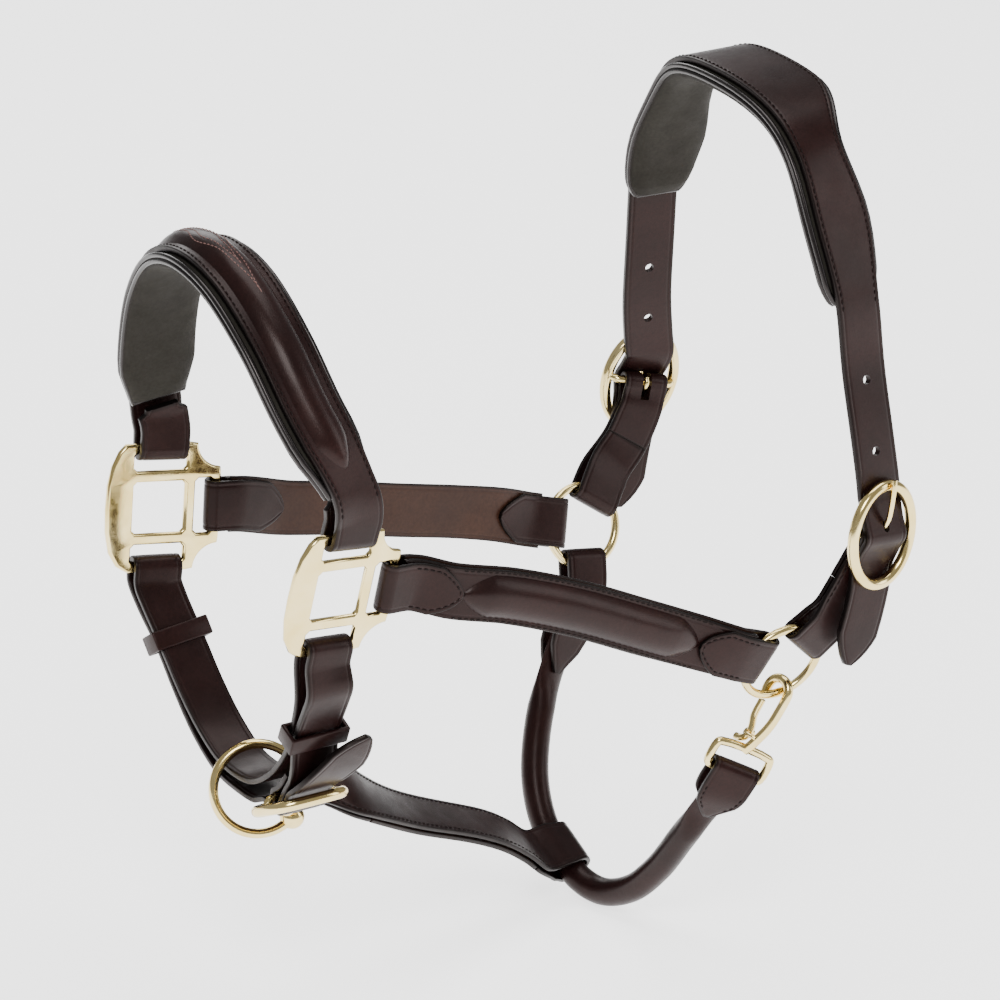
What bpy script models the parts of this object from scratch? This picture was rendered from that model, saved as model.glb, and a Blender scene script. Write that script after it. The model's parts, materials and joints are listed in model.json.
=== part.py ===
"""Leather headcollar for a full-size riding horse.

The horse's nose points to -X, its near (left) side is -Y and +Z is up. Control
points are in millimetres in a frame near the middle of the headcollar; every
object is shifted at the end so that the origin is the noseband's seat, the
middle of the inner face of its padding at the top of the arch.
"""
import math

import bmesh
import bpy
from mathutils import Matrix, Vector

MM = 0.001
SEAT = Vector((-150.0, 4.0, 140.5))

for old in list(bpy.data.objects):
    bpy.data.objects.remove(old, do_unlink=True)


# ---------------------------------------------------------------- materials
def material(name, rgb, rough, metal=0.0):
    m = bpy.data.materials.new(name)
    m.use_nodes = True
    b = m.node_tree.nodes["Principled BSDF"]
    b.inputs["Base Color"].default_value = (*rgb, 1.0)
    b.inputs["Roughness"].default_value = rough
    b.inputs["Metallic"].default_value = metal
    m.diffuse_color = (*rgb, 1.0)
    return m


HAVANA = (0.045, 0.022, 0.018)
LINING = (0.03, 0.03, 0.026)
BROWN = (0.075, 0.038, 0.024)
BRASS = (0.80, 0.62, 0.30)


# ---------------------------------------------------------------- geometry
def centripetal(p0, p1, p2, p3, n):
    t0 = 0.0
    t1 = t0 + max((p1 - p0).length, 1e-6) ** 0.5
    t2 = t1 + max((p2 - p1).length, 1e-6) ** 0.5
    t3 = t2 + max((p3 - p2).length, 1e-6) ** 0.5
    out = []
    for k in range(n):
        t = t1 + (t2 - t1) * k / n
        a1 = p0 * ((t1 - t) / (t1 - t0)) + p1 * ((t - t0) / (t1 - t0))
        a2 = p1 * ((t2 - t) / (t2 - t1)) + p2 * ((t - t1) / (t2 - t1))
        a3 = p2 * ((t3 - t) / (t3 - t2)) + p3 * ((t - t2) / (t3 - t2))
        b1 = a1 * ((t2 - t) / (t2 - t0)) + a2 * ((t - t0) / (t2 - t0))
        b2 = a2 * ((t3 - t) / (t3 - t1)) + a3 * ((t - t1) / (t3 - t1))
        out.append(b1 * ((t2 - t) / (t2 - t1)) + b2 * ((t - t1) / (t2 - t1)))
    return out


class Line:
    """A centre line cut into straight runs, with a width direction on each cut.

    Everything laid along the line is offset from the same cuts, so layers stay
    parallel however near each other they are.
    """

    def __init__(self, pts, wid, out, turn=11.0, step=38.0):
        pts = [Vector(p) for p in pts]
        wid = [Vector(w).normalized() for w in wid]
        if len(wid) == 1:
            wid = wid * len(pts)
        assert len(wid) == len(pts)
        ends = [2 * pts[0] - pts[1], *pts, 2 * pts[-1] - pts[-2]]
        n = 20
        p, hints = [], []
        for i in range(len(pts) - 1):
            p += centripetal(*ends[i : i + 4], n)
            hints += [wid[i].lerp(wid[i + 1], k / n) for k in range(n)]
        p.append(pts[-1])
        hints.append(wid[-1])
        s = [0.0]
        for a, b in zip(p, p[1:]):
            s.append(s[-1] + (b - a).length)
        self.length = s[-1]
        tan = [(p[min(i + 1, len(p) - 1)] - p[max(i - 1, 0)]).normalized() for i in range(len(p))]
        cut = [0]
        for i in range(1, len(p) - 1):
            j = cut[-1]
            bend = math.degrees(tan[j].angle(tan[i])) + 0.6 * math.degrees(hints[j].angle(hints[i]))
            if (bend > turn or s[i] - s[j] > step) and s[i] - s[j] > 0.9 and s[-1] - s[i] > 1.6:
                cut.append(i)
        cut.append(len(p) - 1)
        self.g = [s[i] for i in cut]
        self.p = [p[i] for i in cut]
        self.w, self.n, self.t = [], [], []
        self.sign = 1.0
        for k, i in enumerate(cut):
            d0 = (self.p[k] - self.p[k - 1]).normalized() if k else None
            d1 = (self.p[k + 1] - self.p[k]).normalized() if k + 1 < len(cut) else None
            d0, d1 = d0 or d1, d1 or d0
            t = (d0 + d1).normalized()
            w = (hints[i] - t * hints[i].dot(t)).normalized()
            nn = t.cross(w)
            nn = nn / math.sqrt(max(0.2, 1 - ((d1 - d0).dot(nn) / 2) ** 2))
            self.w.append(w)
            self.n.append(nn)
            self.t.append(t)
        m = len(cut) // 2
        if self.n[m].dot(Vector(out)) < 0:
            self.sign = -1.0
            self.n = [-v for v in self.n]

    def at(self, s, h=0.0):
        c = min(max(s, 0.0), self.length)
        k = max(i for i in range(len(self.g) - 1) if self.g[i] <= c + 1e-9)
        f = (c - self.g[k]) / (self.g[k + 1] - self.g[k])
        p = (self.p[k] + self.n[k] * h).lerp(self.p[k + 1] + self.n[k + 1] * h, f)
        if f < 1e-6:
            t = self.t[k]
        elif f > 1 - 1e-6:
            t = self.t[k + 1]
        else:
            t = (self.p[k + 1] - self.p[k]).normalized()
        return p + t * (s - c), t, self.w[k].lerp(self.w[k + 1], f), self.n[k].lerp(self.n[k + 1], f)

    def near(self, point):
        v = Vector(point)
        best, where = 1e9, 0.0
        for k in range(int(self.length) + 1):
            d = (self.at(k)[0] - v).length
            if d < best:
                best, where = d, float(k)
        return where

    def stops(self, s0, s1, forced=()):
        lo, hi = min(s0, s1), max(s0, s1)
        keep = [lo, *[f for f in forced if lo + 0.5 < f < hi - 0.5], hi]
        keep += [g for g in self.g if lo + 0.8 < g < hi - 0.8 and min(abs(g - f) for f in keep) > 0.8]
        keep.sort()
        return keep if s0 <= s1 else keep[::-1]

    def run(self, s0, s1, half, h=0.0, forced=()):
        out = []
        for s in self.stops(s0, s1, forced):
            hh = h(s) if callable(h) else h
            p, t, w, n = self.at(s, hh)
            a, b = half(s) if callable(half) else (half, half)
            out.append((p, w, a, b, n if hh >= 0 else -n))
        return out

    def fold(self, s, h, half, toward, n=6):
        """Half circle that joins the offsets +h and -h past the end at s."""
        p, t, w, nn = self.at(s)
        nn = nn.normalized()
        out = []
        for k in range(n):
            a = math.pi * (k + 0.5) / n
            q = (nn * math.cos(a) + t * toward * math.sin(a)) / math.cos(math.pi / (2 * n))
            out.append((p + q * h, w, half, half, q))
        return out


def outward(bm):
    bm.normal_update()
    bmesh.ops.recalc_face_normals(bm, faces=bm.faces[:])
    if bm.calc_volume(signed=True) < 0:
        bmesh.ops.reverse_faces(bm, faces=bm.faces[:])


def tip(d, full, length=13.0, least=1.4):
    x = min(max(d / length, 0.0), 1.0)
    return max(least, full * (0.45 * x + 0.55 * math.sqrt(max(0.0, 1 - (1 - x) ** 2))))


TIP = (1.5, 4.0, 8.0, 13.0)


def place(name, bm_or_mesh, mat, origin=None):
    """Puts mesh data given in design millimetres on an object at origin."""
    o = Vector(origin) if origin is not None else SEAT
    if isinstance(bm_or_mesh, bmesh.types.BMesh):
        me = bpy.data.meshes.new(name)
        bm_or_mesh.to_mesh(me)
        bm_or_mesh.free()
    else:
        me = bm_or_mesh
        me.name = name
    for v in me.vertices:
        v.co = (v.co - o) * MM
    ob = bpy.data.objects.new(name, me)
    ob.location = (o - SEAT) * MM
    bpy.context.scene.collection.objects.link(ob)
    me.materials.clear()
    me.materials.append(mat)
    return ob


def slab(name, st, lo, hi, mat, ts=(-1.0, 1.0), bevel=0.6, origin=None, flip=1.0):
    """A strap: a grid that follows the stations, extruded to a closed body.

    lo and hi give the lower and upper face's height at station i, column t.
    """
    n, m = len(st) - 1, len(ts) - 1
    bm = bmesh.new()
    bmesh.ops.create_grid(bm, x_segments=n, y_segments=m, size=1.0)
    order = sorted(bm.verts, key=lambda v: (round(v.co.x, 5), round(v.co.y, 5)))
    low = {(k // (m + 1), k % (m + 1)): v for k, v in enumerate(order)}
    where = {(round(v.co.x, 5), round(v.co.y, 5)): key for key, v in low.items()}
    ret = bmesh.ops.extrude_face_region(bm, geom=bm.faces[:])
    top = {}
    for g in ret["geom"]:
        if isinstance(g, bmesh.types.BMVert):
            top[where[(round(g.co.x, 5), round(g.co.y, 5))]] = g
    for i in range(n + 1):
        p, w, a, b, nn = st[i]
        nn = nn * flip
        for j in range(m + 1):
            tt = ts[j]
            side = w * (tt * (a if tt < 0 else b))
            low[(i, j)].co = p + side + nn * lo(i, tt)
            top[(i, j)].co = p + side + nn * hi(i, tt)
    outward(bm)
    ob = place(name, bm, mat, origin)
    if bevel:
        b = ob.modifiers.new("edge", "BEVEL")
        b.width = bevel * MM
        b.segments = 1
        b.limit_method = "ANGLE"
        b.angle_limit = math.radians(50)
    return ob


def strap(name, st, thick, mat, bevel=0.6, origin=None):
    h = thick / 2
    return slab(name, st, lambda i, t: -h, lambda i, t: h, mat, bevel=bevel, origin=origin)


def raised(name, line, s0, s1, half, base, height, mat, forced=()):
    """A rounded filler under leather: flat below, domed above, tapering ends."""
    hh = half

    def width(s):
        d = min(s - s0, s1 - s)
        k = tip(d, 1.0, 14.0, 0.35)
        return hh * k, hh * k

    ss = line.stops(s0, s1, [s0 + 4, s0 + 14, s1 - 14, s1 - 4, *forced])
    st = []
    for s in ss:
        p, t, w, n = line.at(s, base)
        st.append((p, w, *width(s), n))

    def top(i, t):
        d = min(ss[i] - s0, s1 - ss[i])
        k = tip(d, 1.0, 12.0, 0.3)
        return 0.9 + (height - 0.9) * k * (1 - abs(t) ** 2.2)

    return slab(name, st, lambda i, t: 0.0, top, mat, ts=(-1.0, -0.8, -0.45, 0.0, 0.45, 0.8, 1.0), bevel=0)


def wire_mesh(pts, radius, cyclic=False, res=1, cap=True):
    """A round wire along points, as mesh data in design millimetres."""
    cu = bpy.data.curves.new("wire", "CURVE")
    cu.dimensions = "3D"
    sp = cu.splines.new("POLY")
    sp.points.add(len(pts) - 1)
    for q, p in zip(sp.points, pts):
        q.co = (*Vector(p), 1.0)
    sp.use_cyclic_u = cyclic
    cu.bevel_depth = radius
    cu.bevel_resolution = res
    cu.use_fill_caps = cap and not cyclic
    ob = bpy.data.objects.new("wire", cu)
    bpy.context.scene.collection.objects.link(ob)
    bpy.context.view_layer.update()
    me = bpy.data.meshes.new_from_object(ob.evaluated_get(bpy.context.evaluated_depsgraph_get()))
    bpy.data.objects.remove(ob, do_unlink=True)
    bm = bmesh.new()
    bm.from_mesh(me)
    bmesh.ops.remove_doubles(bm, verts=bm.verts[:], dist=0.0001)
    outward(bm)
    bm.to_mesh(me)
    bm.free()
    return me


CUTTERS = bpy.data.collections.new("cutters")
bpy.context.scene.collection.children.link(CUTTERS)


def hidden(ob):
    for c in list(ob.users_collection):
        c.objects.unlink(ob)
    CUTTERS.objects.link(ob)
    ob.hide_render = True
    ob.display_type = "WIRE"
    return ob


def boolean(ob, other, how):
    m = ob.modifiers.new(how.lower(), "BOOLEAN")
    m.operation = how
    m.solver = "EXACT"
    m.object = other
    return m


class Frame:
    """Local axes at a fitting: w across the strap, s along it, n outward."""

    def __init__(self, c, w, s, n):
        self.c = Vector(c)
        self.s = Vector(s).normalized()
        w = Vector(w)
        self.w = (w - self.s * w.dot(self.s)).normalized()
        self.n = self.w.cross(self.s)
        if self.n.dot(Vector(n)) < 0:
            self.n = -self.n

    def __call__(self, w, s, n=0.0):
        return self.c + self.w * w + self.s * s + self.n * n

    def matrix(self):
        z = self.w.cross(self.s)
        return Matrix((self.w, self.s, z)).transposed().to_4x4()


def box_mesh(fr, w, s, n):
    """A box w0..w1, s0..s1, n0..n1 in a local frame."""
    bm = bmesh.new()
    bmesh.ops.create_cube(bm, size=1.0)
    for v in bm.verts:
        c = v.co + Vector((0.5, 0.5, 0.5))
        v.co = fr(w[0] + (w[1] - w[0]) * c.x, s[0] + (s[1] - s[0]) * c.y, n[0] + (n[1] - n[0]) * c.z)
    outward(bm)
    me = bpy.data.meshes.new("box")
    bm.to_mesh(me)
    bm.free()
    return me


def rod_mesh(a, b, r, seg=12):
    a, b = Vector(a), Vector(b)
    bm = bmesh.new()
    q = (b - a).to_track_quat("Z", "Y").to_matrix().to_4x4()
    bmesh.ops.create_cone(
        bm, cap_ends=True, segments=seg, radius1=r, radius2=r, depth=(b - a).length,
        matrix=Matrix.Translation((a + b) / 2) @ q,
    )
    outward(bm)
    me = bpy.data.meshes.new("rod")
    bm.to_mesh(me)
    bm.free()
    return me


def torus(name, c, n, major, minor, mat, seg=36, sides=8):
    c, n = Vector(c), Vector(n).normalized()
    bpy.ops.mesh.primitive_torus_add(
        major_segments=seg, minor_segments=sides, major_radius=major * MM, minor_radius=minor * MM,
        location=(c - SEAT) * MM, rotation=n.to_track_quat("Z", "Y").to_euler(),
    )
    ob = bpy.context.object
    ob.name = name
    ob.data.name = name
    ob.data.materials.clear()
    ob.data.materials.append(mat)
    return ob


def smooth(pts, n=4, cyclic=False):
    pts = [Vector(p) for p in pts]
    ends = [2 * pts[0] - pts[1], *pts, 2 * pts[-1] - pts[-2]]
    out = []
    for i in range(len(pts) - 1):
        out += centripetal(*ends[i : i + 4], n)
    out.append(pts[-1])
    return out


def mats(prefix, rgb, rough, metal=0.0):
    return lambda node: material(f"{prefix}_{node}", rgb, rough, metal)


leather = mats("leather", HAVANA, 0.35)
lining = mats("lining", LINING, 0.6)
brown = mats("flesh", BROWN, 0.5)
brass = mats("brass", BRASS, 0.18, 1.0)

# ---------------------------------------------------------------- sizes
STRAP = 12.5          # half of a 25 mm strap
LAP = 12.0            # half width of a folded end
RING_R, RING_WIRE = 19.6, 2.1
RIG = 4.2             # half distance between the two legs of a folded end

NEAR_RING = Vector((100.0, -87.5, -72.7))
FAR_RING = Vector((102.0, 87.5, -65.4))
NEAR_RING_N = Vector((-0.05, -0.95, -0.31)).normalized()
FAR_RING_N = Vector((-0.05, 0.95, -0.31)).normalized()

near_sq = Frame((-134.2, -78.5, 11.2), (0.985, 0.08, -0.15), (0.13, -0.17, 0.975), (0, -1, 0))
far_sq = Frame((-138.1, 78.5, -0.8), (0.98, -0.13, -0.15), (0.13, 0.09, 0.985), (0, 1, 0))


# ---------------------------------------------------------------- squares
def square(name, fr):
    """Halter square: three slotted sides and a broad curved plate in front."""
    def arc(cx, cy, r, a0, a1, n):
        return [(cx + r * math.cos(math.radians(a0 + (a1 - a0) * k / n)), cy + r * math.sin(math.radians(a0 + (a1 - a0) * k / n))) for k in range(n + 1)]

    outer = []
    outer += [(-17.5, 30.6), (14.6, 30.6), (18.4, 30.0)]
    outer += arc(30.6, 30.6, 12.2, 186, 264, 5)
    outer += [(30.2, 18.2), (30.6, 14.6), (30.6, -14.6), (30.2, -18.2)]
    outer += arc(30.6, -30.6, 12.2, 96, 174, 5)
    outer += [(18.4, -30.0), (14.6, -30.6), (-14.5, -30.8), (-20.0, -27.6), (-24.0, -21.0), (-26.0, -11.0), (-26.4, 0.0), (-26.0, 11.0), (-24.2, 20.0), (-21.0, 27.0)]

    def rect(x0, y0, x1, y1, c=1.6):
        return [(x0 + c, y0), (x1 - c, y0), (x1, y0 + c), (x1, y1 - c), (x1 - c, y1), (x0 + c, y1), (x0, y1 - c), (x0, y0 + c)]

    holes = [rect(-14.2, -13.4, 14.0, 13.4), rect(-13.2, 17.6, 13.2, 26.4), rect(-13.2, -26.4, 13.2, -17.6), rect(17.8, -13.2, 26.4, 13.2)]
    cu = bpy.data.curves.new(name, "CURVE")
    cu.dimensions = "2D"
    cu.fill_mode = "BOTH"
    for ring in [outer, *holes]:
        sp = cu.splines.new("POLY")
        sp.points.add(len(ring) - 1)
        for q, (x, y) in zip(sp.points, ring):
            q.co = (x, y, 0.0, 1.0)
        sp.use_cyclic_u = True
    cu.extrude = 1.1
    cu.bevel_depth = 0.6
    cu.bevel_resolution = 0
    cu.offset = -0.6
    ob = bpy.data.objects.new(name, cu)
    bpy.context.scene.collection.objects.link(ob)
    bpy.context.view_layer.update()
    me = bpy.data.meshes.new_from_object(ob.evaluated_get(bpy.context.evaluated_depsgraph_get()))
    bpy.data.objects.remove(ob, do_unlink=True)
    bm = bmesh.new()
    bm.from_mesh(me)
    bmesh.ops.remove_doubles(bm, verts=bm.verts[:], dist=0.0001)
    for v in bm.verts:
        v.co = fr(v.co.x, v.co.y, v.co.z)
    outward(bm)
    bm.to_mesh(me)
    bm.free()
    return place(name, me, brass(name), fr.c)


square("near_square", near_sq)
square("far_square", far_sq)
torus("near_ring", NEAR_RING, NEAR_RING_N, RING_R, RING_WIRE, brass("near_ring"))
torus("far_ring", FAR_RING, FAR_RING_N, RING_R, RING_WIRE, brass("far_ring"))


# ---------------------------------------------------------------- cheeks
def ring_point(c, n, toward, d):
    """A point in a ring's plane, d from its centre in a given direction."""
    v = Vector(toward)
    v = (v - n * v.dot(n)).normalized()
    return c + v * d, v


def cheek(side, line, fit0, fit1):
    """Base strap, padded lining, raised strip and two folded pointed ends.

    fit0 and fit1 are the distances along the line of the fold's centres.
    """
    s0, s1 = fit0, fit1
    base0, base1 = s0 + 5.4, s1 - 9.5
    up = 0.95
    strap(f"{side}_cheek_strap", line.run(base0, base1, STRAP, up), 2.8, leather(f"{side}_cheek_strap"))
    strap(f"{side}_cheek_lining", line.run(base0 + 1.0, base1 - 1.0, 13.4, up - 2.6), 1.4, lining(f"{side}_cheek_lining"), bevel=0.5)
    l_out, l_in = 36.0, 38.0
    for tag, s, toward, sgn in (("square", s0, -1, 1), ("ring", s1, 1, -1)):
        def half(q, s=s, sgn=sgn, length=l_out):
            d = length - abs(q - s)
            return (tip(d, LAP),) * 2

        def half_in(q, s=s, sgn=sgn, length=l_in):
            d = length - abs(q - s)
            return (tip(d, LAP),) * 2

        e_out, e_in = s + sgn * l_out, s + sgn * l_in
        st = line.run(e_out, s, half, RIG, [e_out - sgn * k for k in TIP])
        st += line.fold(s, RIG, LAP, toward)
        st += line.run(s, e_in, half_in, -RIG, [e_in - sgn * k for k in TIP])
        strap(f"{side}_cheek_{tag}_loop", st, 2.2, leather(f"{side}_cheek_{tag}_loop"), bevel=0.5)
    raised(f"{side}_cheek_raised", line, s0 + l_out + 0.8, s1 - l_out - 0.8, 10.2, up + 2.3, 4.0, leather(f"{side}_cheek_raised"))


nc_end, nc_v = ring_point(NEAR_RING, NEAR_RING_N, (-0.915, 0.0, 0.40), 15.4)
nc_w = NEAR_RING_N.cross(nc_v)
nc_w = nc_w if nc_w.z > 0 else -nc_w
near_cheek = Line(
    [near_sq(28.5, 0, 0), near_sq(40, 0, 0.2), (-76, -80.5, -0.5), (-45, -82.0, -9.5), (-10, -84.0, -23.0), (25, -85.8, -39.5), (50, -86.6, -51.4), NEAR_RING + nc_v * 31.0, nc_end],
    [near_sq.s, near_sq.s, (0.1, -0.05, 0.98), (0.2, 0, 0.97), (0.3, 0, 0.95), (0.4, 0, 0.92), (0.42, -0.1, 0.9), nc_w, nc_w],
    (0, -1, 0), 7.0,
)
cheek("near", near_cheek, 0.0, near_cheek.length)
fc_end, fc_v = ring_point(FAR_RING, FAR_RING_N, (-0.951, 0.0, 0.309), 15.4)
fc_w = FAR_RING_N.cross(fc_v)
fc_w = fc_w if fc_w.z > 0 else -fc_w
far_cheek = Line(
    [far_sq(28.5, 0, 0), far_sq(40, 0, 0.2), (-72, 79.0, -15.0), (-40, 81.8, -23.0), (-5, 84.2, -32.5), (30, 86.0, -41.5), (52, 86.6, -48.0), FAR_RING + fc_v * 31.0, fc_end],
    [far_sq.s, far_sq.s, (0.2, 0.03, 0.98), (0.25, 0, 0.97), (0.25, 0, 0.97), (0.27, 0, 0.96), (0.28, 0.1, 0.95), fc_w, fc_w],
    (0, 1, 0), 7.0,
)
cheek("far", far_cheek, 0.0, far_cheek.length)

# ---------------------------------------------------------------- noseband
nose = Line(
    [
        near_sq(0, 28.5, 0), near_sq(0, 38.0, 0), (-131.2, -86.2, 58.5), (-135.4, -82.4, 72.0), (-142.0, -67.6, 95.0), (-146.5, -48.0, 121.0),
        (-149.0, -20.0, 141.5), (-150.0, 6.0, 147.0), (-149.0, 30.0, 140.0), (-145.5, 53.0, 118.0), (-141.5, 69.0, 88.0),
        (-136.6, 79.6, 58.0), (-134.0, 82.6, 45.5), far_sq(0, 37.5, 0), far_sq(0, 28.5, 0),
    ],
    [
        near_sq.w, near_sq.w, (0.975, 0.16, -0.05), (0.97, 0.20, 0.02), (0.97, 0.19, 0.02), (0.98, 0.15, 0.0),
        (0.99, 0.08, 0.0), (1, 0.0, 0.0), (1, -0.02, 0.0), (0.99, -0.02, -0.02), (0.99, -0.03, -0.06),
        (0.985, -0.06, -0.1), (0.98, -0.11, -0.13), far_sq.w, far_sq.w,
    ],
    (0, 0, 1),
)
L = nose.length


def nose_half(s):
    d = min(s, L - s)
    k = min(max((d - 26.0) / 22.0, 0.0), 1.0)
    return (11.8 + 0.7 * min(d / 14.0, 1.0) + 2.3 * k,) * 2


NRIG = 4.4
IN_LEG = 24.0
st = nose.run(IN_LEG, 0.0, lambda s: (tip(IN_LEG - s, LAP, 5.0, 8.0),) * 2, -NRIG, [IN_LEG - 5.0])
st += nose.fold(0.0, NRIG, 11.8, -1)[::-1]
st += nose.run(0.0, L, lambda s: (nose_half(s)[0],) * 2, NRIG, [14, 26, 48, L - 48, L - 26, L - 14])
st += nose.fold(L, NRIG, 11.8, 1)
st += nose.run(L, L - IN_LEG, lambda s: (tip(IN_LEG - (L - s), LAP, 5.0, 8.0),) * 2, -NRIG, [L - IN_LEG + 5.0])
strap("noseband_strap", st, 3.0, leather("noseband_strap"))
raised("noseband_raised", nose, 34.0, L - 34.0, 9.6, NRIG + 1.8, 4.8, leather("noseband_raised"))

NP0, NP1 = 26.0, L - 26.0
nst = nose.stops(NP0, NP1, [NP0 + 3, NP0 + 10, NP0 + 24, NP1 - 24, NP1 - 10, NP1 - 3])


def pad_half(s):
    d = min(s - NP0, NP1 - s)
    k = min(max(d / 24.0, 0.0), 1.0)
    return 13.4 + 4.6 * (k * k * (3 - 2 * k))


def pad_thick(d):
    k = min(max(d / 12.0, 0.0), 1.0)
    return 0.4 + 0.6 * math.sqrt(max(0.0, 1 - (1 - k) ** 2))


# padding fills from the strap's inner face inward, with rounded edges
st = [(nose.at(s, NRIG - 1.5 - 0.35)[0], nose.at(s)[2], pad_half(s), pad_half(s), nose.at(s)[3]) for s in nst]


def nose_pad_low(i, t):
    k = pad_thick(min(nst[i] - NP0, NP1 - nst[i]))
    return -(8.2 * k) * (1 - 0.35 * abs(t) ** 5)


slab(
    "noseband_pad", st, nose_pad_low, lambda i, t: -0.0 if abs(t) < 0.9 else -1.6, lining("noseband_pad"),
    ts=(-1.0, -0.86, -0.45, 0.45, 0.86, 1.0), bevel=0,
)


# ---------------------------------------------------------------- buckles
def buckle(name, tongue, fr, half_w, half_s, bar_n=-4.6, power=2.0):
    """Oval frame with a set-back centre bar, and its tongue on the bar."""
    oval = []
    for k in range(28):
        c, q = math.cos(2 * math.pi * k / 28), math.sin(2 * math.pi * k / 28)
        c = math.copysign(abs(c) ** (2 / power), c)
        q = math.copysign(abs(q) ** (2 / power), q)
        oval.append(fr(half_w * c, half_s * q))
    ob = place(name, wire_mesh(oval, 2.4, True, 2), brass(name), fr.c)
    bar = wire_mesh([fr(-half_w, 0, 0.2), fr(-half_w + 1.6, 0, -1.6), fr(-13.4, 0, bar_n), fr(13.4, 0, bar_n), fr(half_w - 1.6, 0, -1.6), fr(half_w, 0, 0.2)], 1.9)
    b = hidden(place(f"{name}_bar_form", bar, ob.data.materials[0], fr.c))
    boolean(ob, b, "UNION")
    r = 3.5
    pts = [fr(0, r * math.cos(math.radians(a)), bar_n + r * math.sin(math.radians(a))) for a in (-38, -75, -112, -150, -188, -225, -258)]
    pts += smooth([fr(0, 1.6, bar_n + 4.3), fr(0, 5.0, 1.4), fr(0, 9.0, 3.2), fr(0, half_s - 3.0, 4.3), fr(0, half_s + 1.0, 4.3), fr(0, half_s + 3.4, 3.9)], 2)
    pivot = fr(0, 0, bar_n)
    place(tongue, wire_mesh(pts, 1.3), brass(tongue), pivot)
    # the opening the tongue needs through the strap while it lifts
    sweep = []
    for k, deg in enumerate((0.0, 6.0, 12.0)):
        q = Matrix.Rotation(math.radians(deg) * lift_sign(fr), 3, fr.w)
        zone = [pivot + q @ (p - pivot) for p in smooth([fr(0, -3.4, bar_n + 2.2), fr(0, -1.9, bar_n + 3.5), fr(0, 1.6, bar_n + 4.3), fr(0, 5.0, 1.4), fr(0, 9.0, 3.2), fr(0, half_s - 1.5, 4.3)], 2)]
        sweep.append(hidden(place(f"{name}_slot_form_{k}", wire_mesh(zone, 1.8 - 0.05 * k), ob.data.materials[0], fr.c)))
    return ob, sweep


def lift_sign(fr):
    """Sign of a turn about w that lifts +s toward +n."""
    return 1.0 if fr.w.cross(fr.s).dot(fr.n) > 0 else -1.0


near_bk = Frame((142.6, -106.0, -11.7), (0.99, 0.137, -0.1), (0.13, 0.03, 0.99), (0, -1, 0))
far_bk = Frame((147.0, 106.0, -3.2), (0.97, -0.12, -0.26), (0.24, -0.08, 0.965), (0, 1, 0))
HS = 24.1
_, near_slot = buckle("near_buckle_frame", "near_buckle_tongue", near_bk, 18.1, HS)
_, far_slot = buckle("far_buckle_frame", "far_buckle_tongue", far_bk, 18.1, HS)

# ---------------------------------------------------------------- crown
# front edge of the crown strap, near side to far side, then shifted to mid strap
WN, WT, WF = Vector((0.99, 0.137, -0.05)), Vector((1.0, 0.0, 0.0)), Vector((0.985, -0.14, -0.10))
front = [
    ((128.2, -90.8, 73.0), WN), ((126.6, -90.0, 98.0), WN), ((125.0, -83.5, 118.5), WN), ((123.9, -73.5, 141.0), WN),
    ((122.7, -63.0, 162.0), Vector((0.995, 0.09, -0.02))), ((121.9, -46.5, 178.0), WT), ((121.4, -22.0, 185.8), WT), ((121.2, 4.0, 187.8), WT), ((121.4, 29.0, 187.0), WT),
    ((121.8, 46.0, 181.5), WT), ((122.6, 59.0, 164.0), Vector((0.99, -0.09, -0.05))), ((124.0, 72.0, 144.0), WF), ((125.2, 81.5, 124.0), WF),
    ((126.4, 85.5, 102.0), WF), ((128.4, 90.5, 72.0), WF), ((129.9, 95.0, 44.5), WF),
]
mid = [(Vector(p) + w.normalized() * STRAP, w) for p, w in front]
near_in = [near_bk(-8.0, -64, -5.2), near_bk(-3.0, -45, -4.7), near_bk(0, -27, -4.7), near_bk(0, -17, -4.5), near_bk(0, -8, -1.2), near_bk(0, -0.5, 2.4), near_bk(0, 8, -1.3), near_bk(0, 17, -4.6), near_bk(-2.2, 27, -5.2), near_bk(-6.5, 50, -8.5)]
far_in = [far_bk(-8.0, 30, -7.0), far_bk(-1.0, 17, -4.9), far_bk(0, 8, -1.3), far_bk(0, -0.5, 2.4), far_bk(0, -8, -1.2), far_bk(0, -17, -4.5), far_bk(0, -27, -4.7), far_bk(1.5, -45, -4.7), far_bk(4.0, -66, -5.2)]
crown = Line(
    near_in + [p for p, w in mid] + far_in,
    [near_bk.w] * 9 + [Vector((0.99, 0.137, -0.09))] + [w for p, w in mid] + [Vector((0.975, -0.13, -0.2))] + [far_bk.w] * 8,
    (0, 0, 1),
)
CL = crown.length
# places along the crown: both shoulders, both necks and the poll
s_sh0, s_sh1 = crown.near(mid[3][0]) - 6, crown.near(mid[11][0]) + 8
s_nk0, s_nk1 = crown.near(mid[4][0]) + 4, crown.near(mid[10][0]) - 2
s_top0, s_top1 = crown.near(mid[6][0]), crown.near(mid[8][0])
s_bl0, s_bl1 = crown.near(mid[1][0]) - 2, crown.near(mid[13][0]) + 2


def ease(x):
    x = min(max(x, 0.0), 1.0)
    return x * x * (3 - 2 * x)


def table(s, rows):
    if s <= rows[0][0]:
        return rows[0][1]
    for (a, va), (b, vb) in zip(rows, rows[1:]):
        if s <= b:
            return va + (vb - va) * ease((s - a) / (b - a))
    return rows[-1][1]


def crown_half(s):
    d = min(s, CL - s)
    w = tip(d, STRAP, 15.0, 1.8)
    front_half = table(s, [(s_bl0, 12.5), (s_sh0, 13.6), (s_nk0, 12.6), (s_top0, 13.2), (s_top1, 13.2), (s_nk1, 12.6), (s_sh1, 13.8), (s_bl1, 12.5)])
    rear = table(s, [(s_bl0, 12.5), (s_sh0, 17.4), (s_nk0, 13.0), (s_top0, 25.0), (s_top1, 25.0), (s_nk1, 13.0), (s_sh1, 17.4), (s_bl1, 12.5)])
    if d < 15.0:
        return w, w
    return front_half, rear


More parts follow.
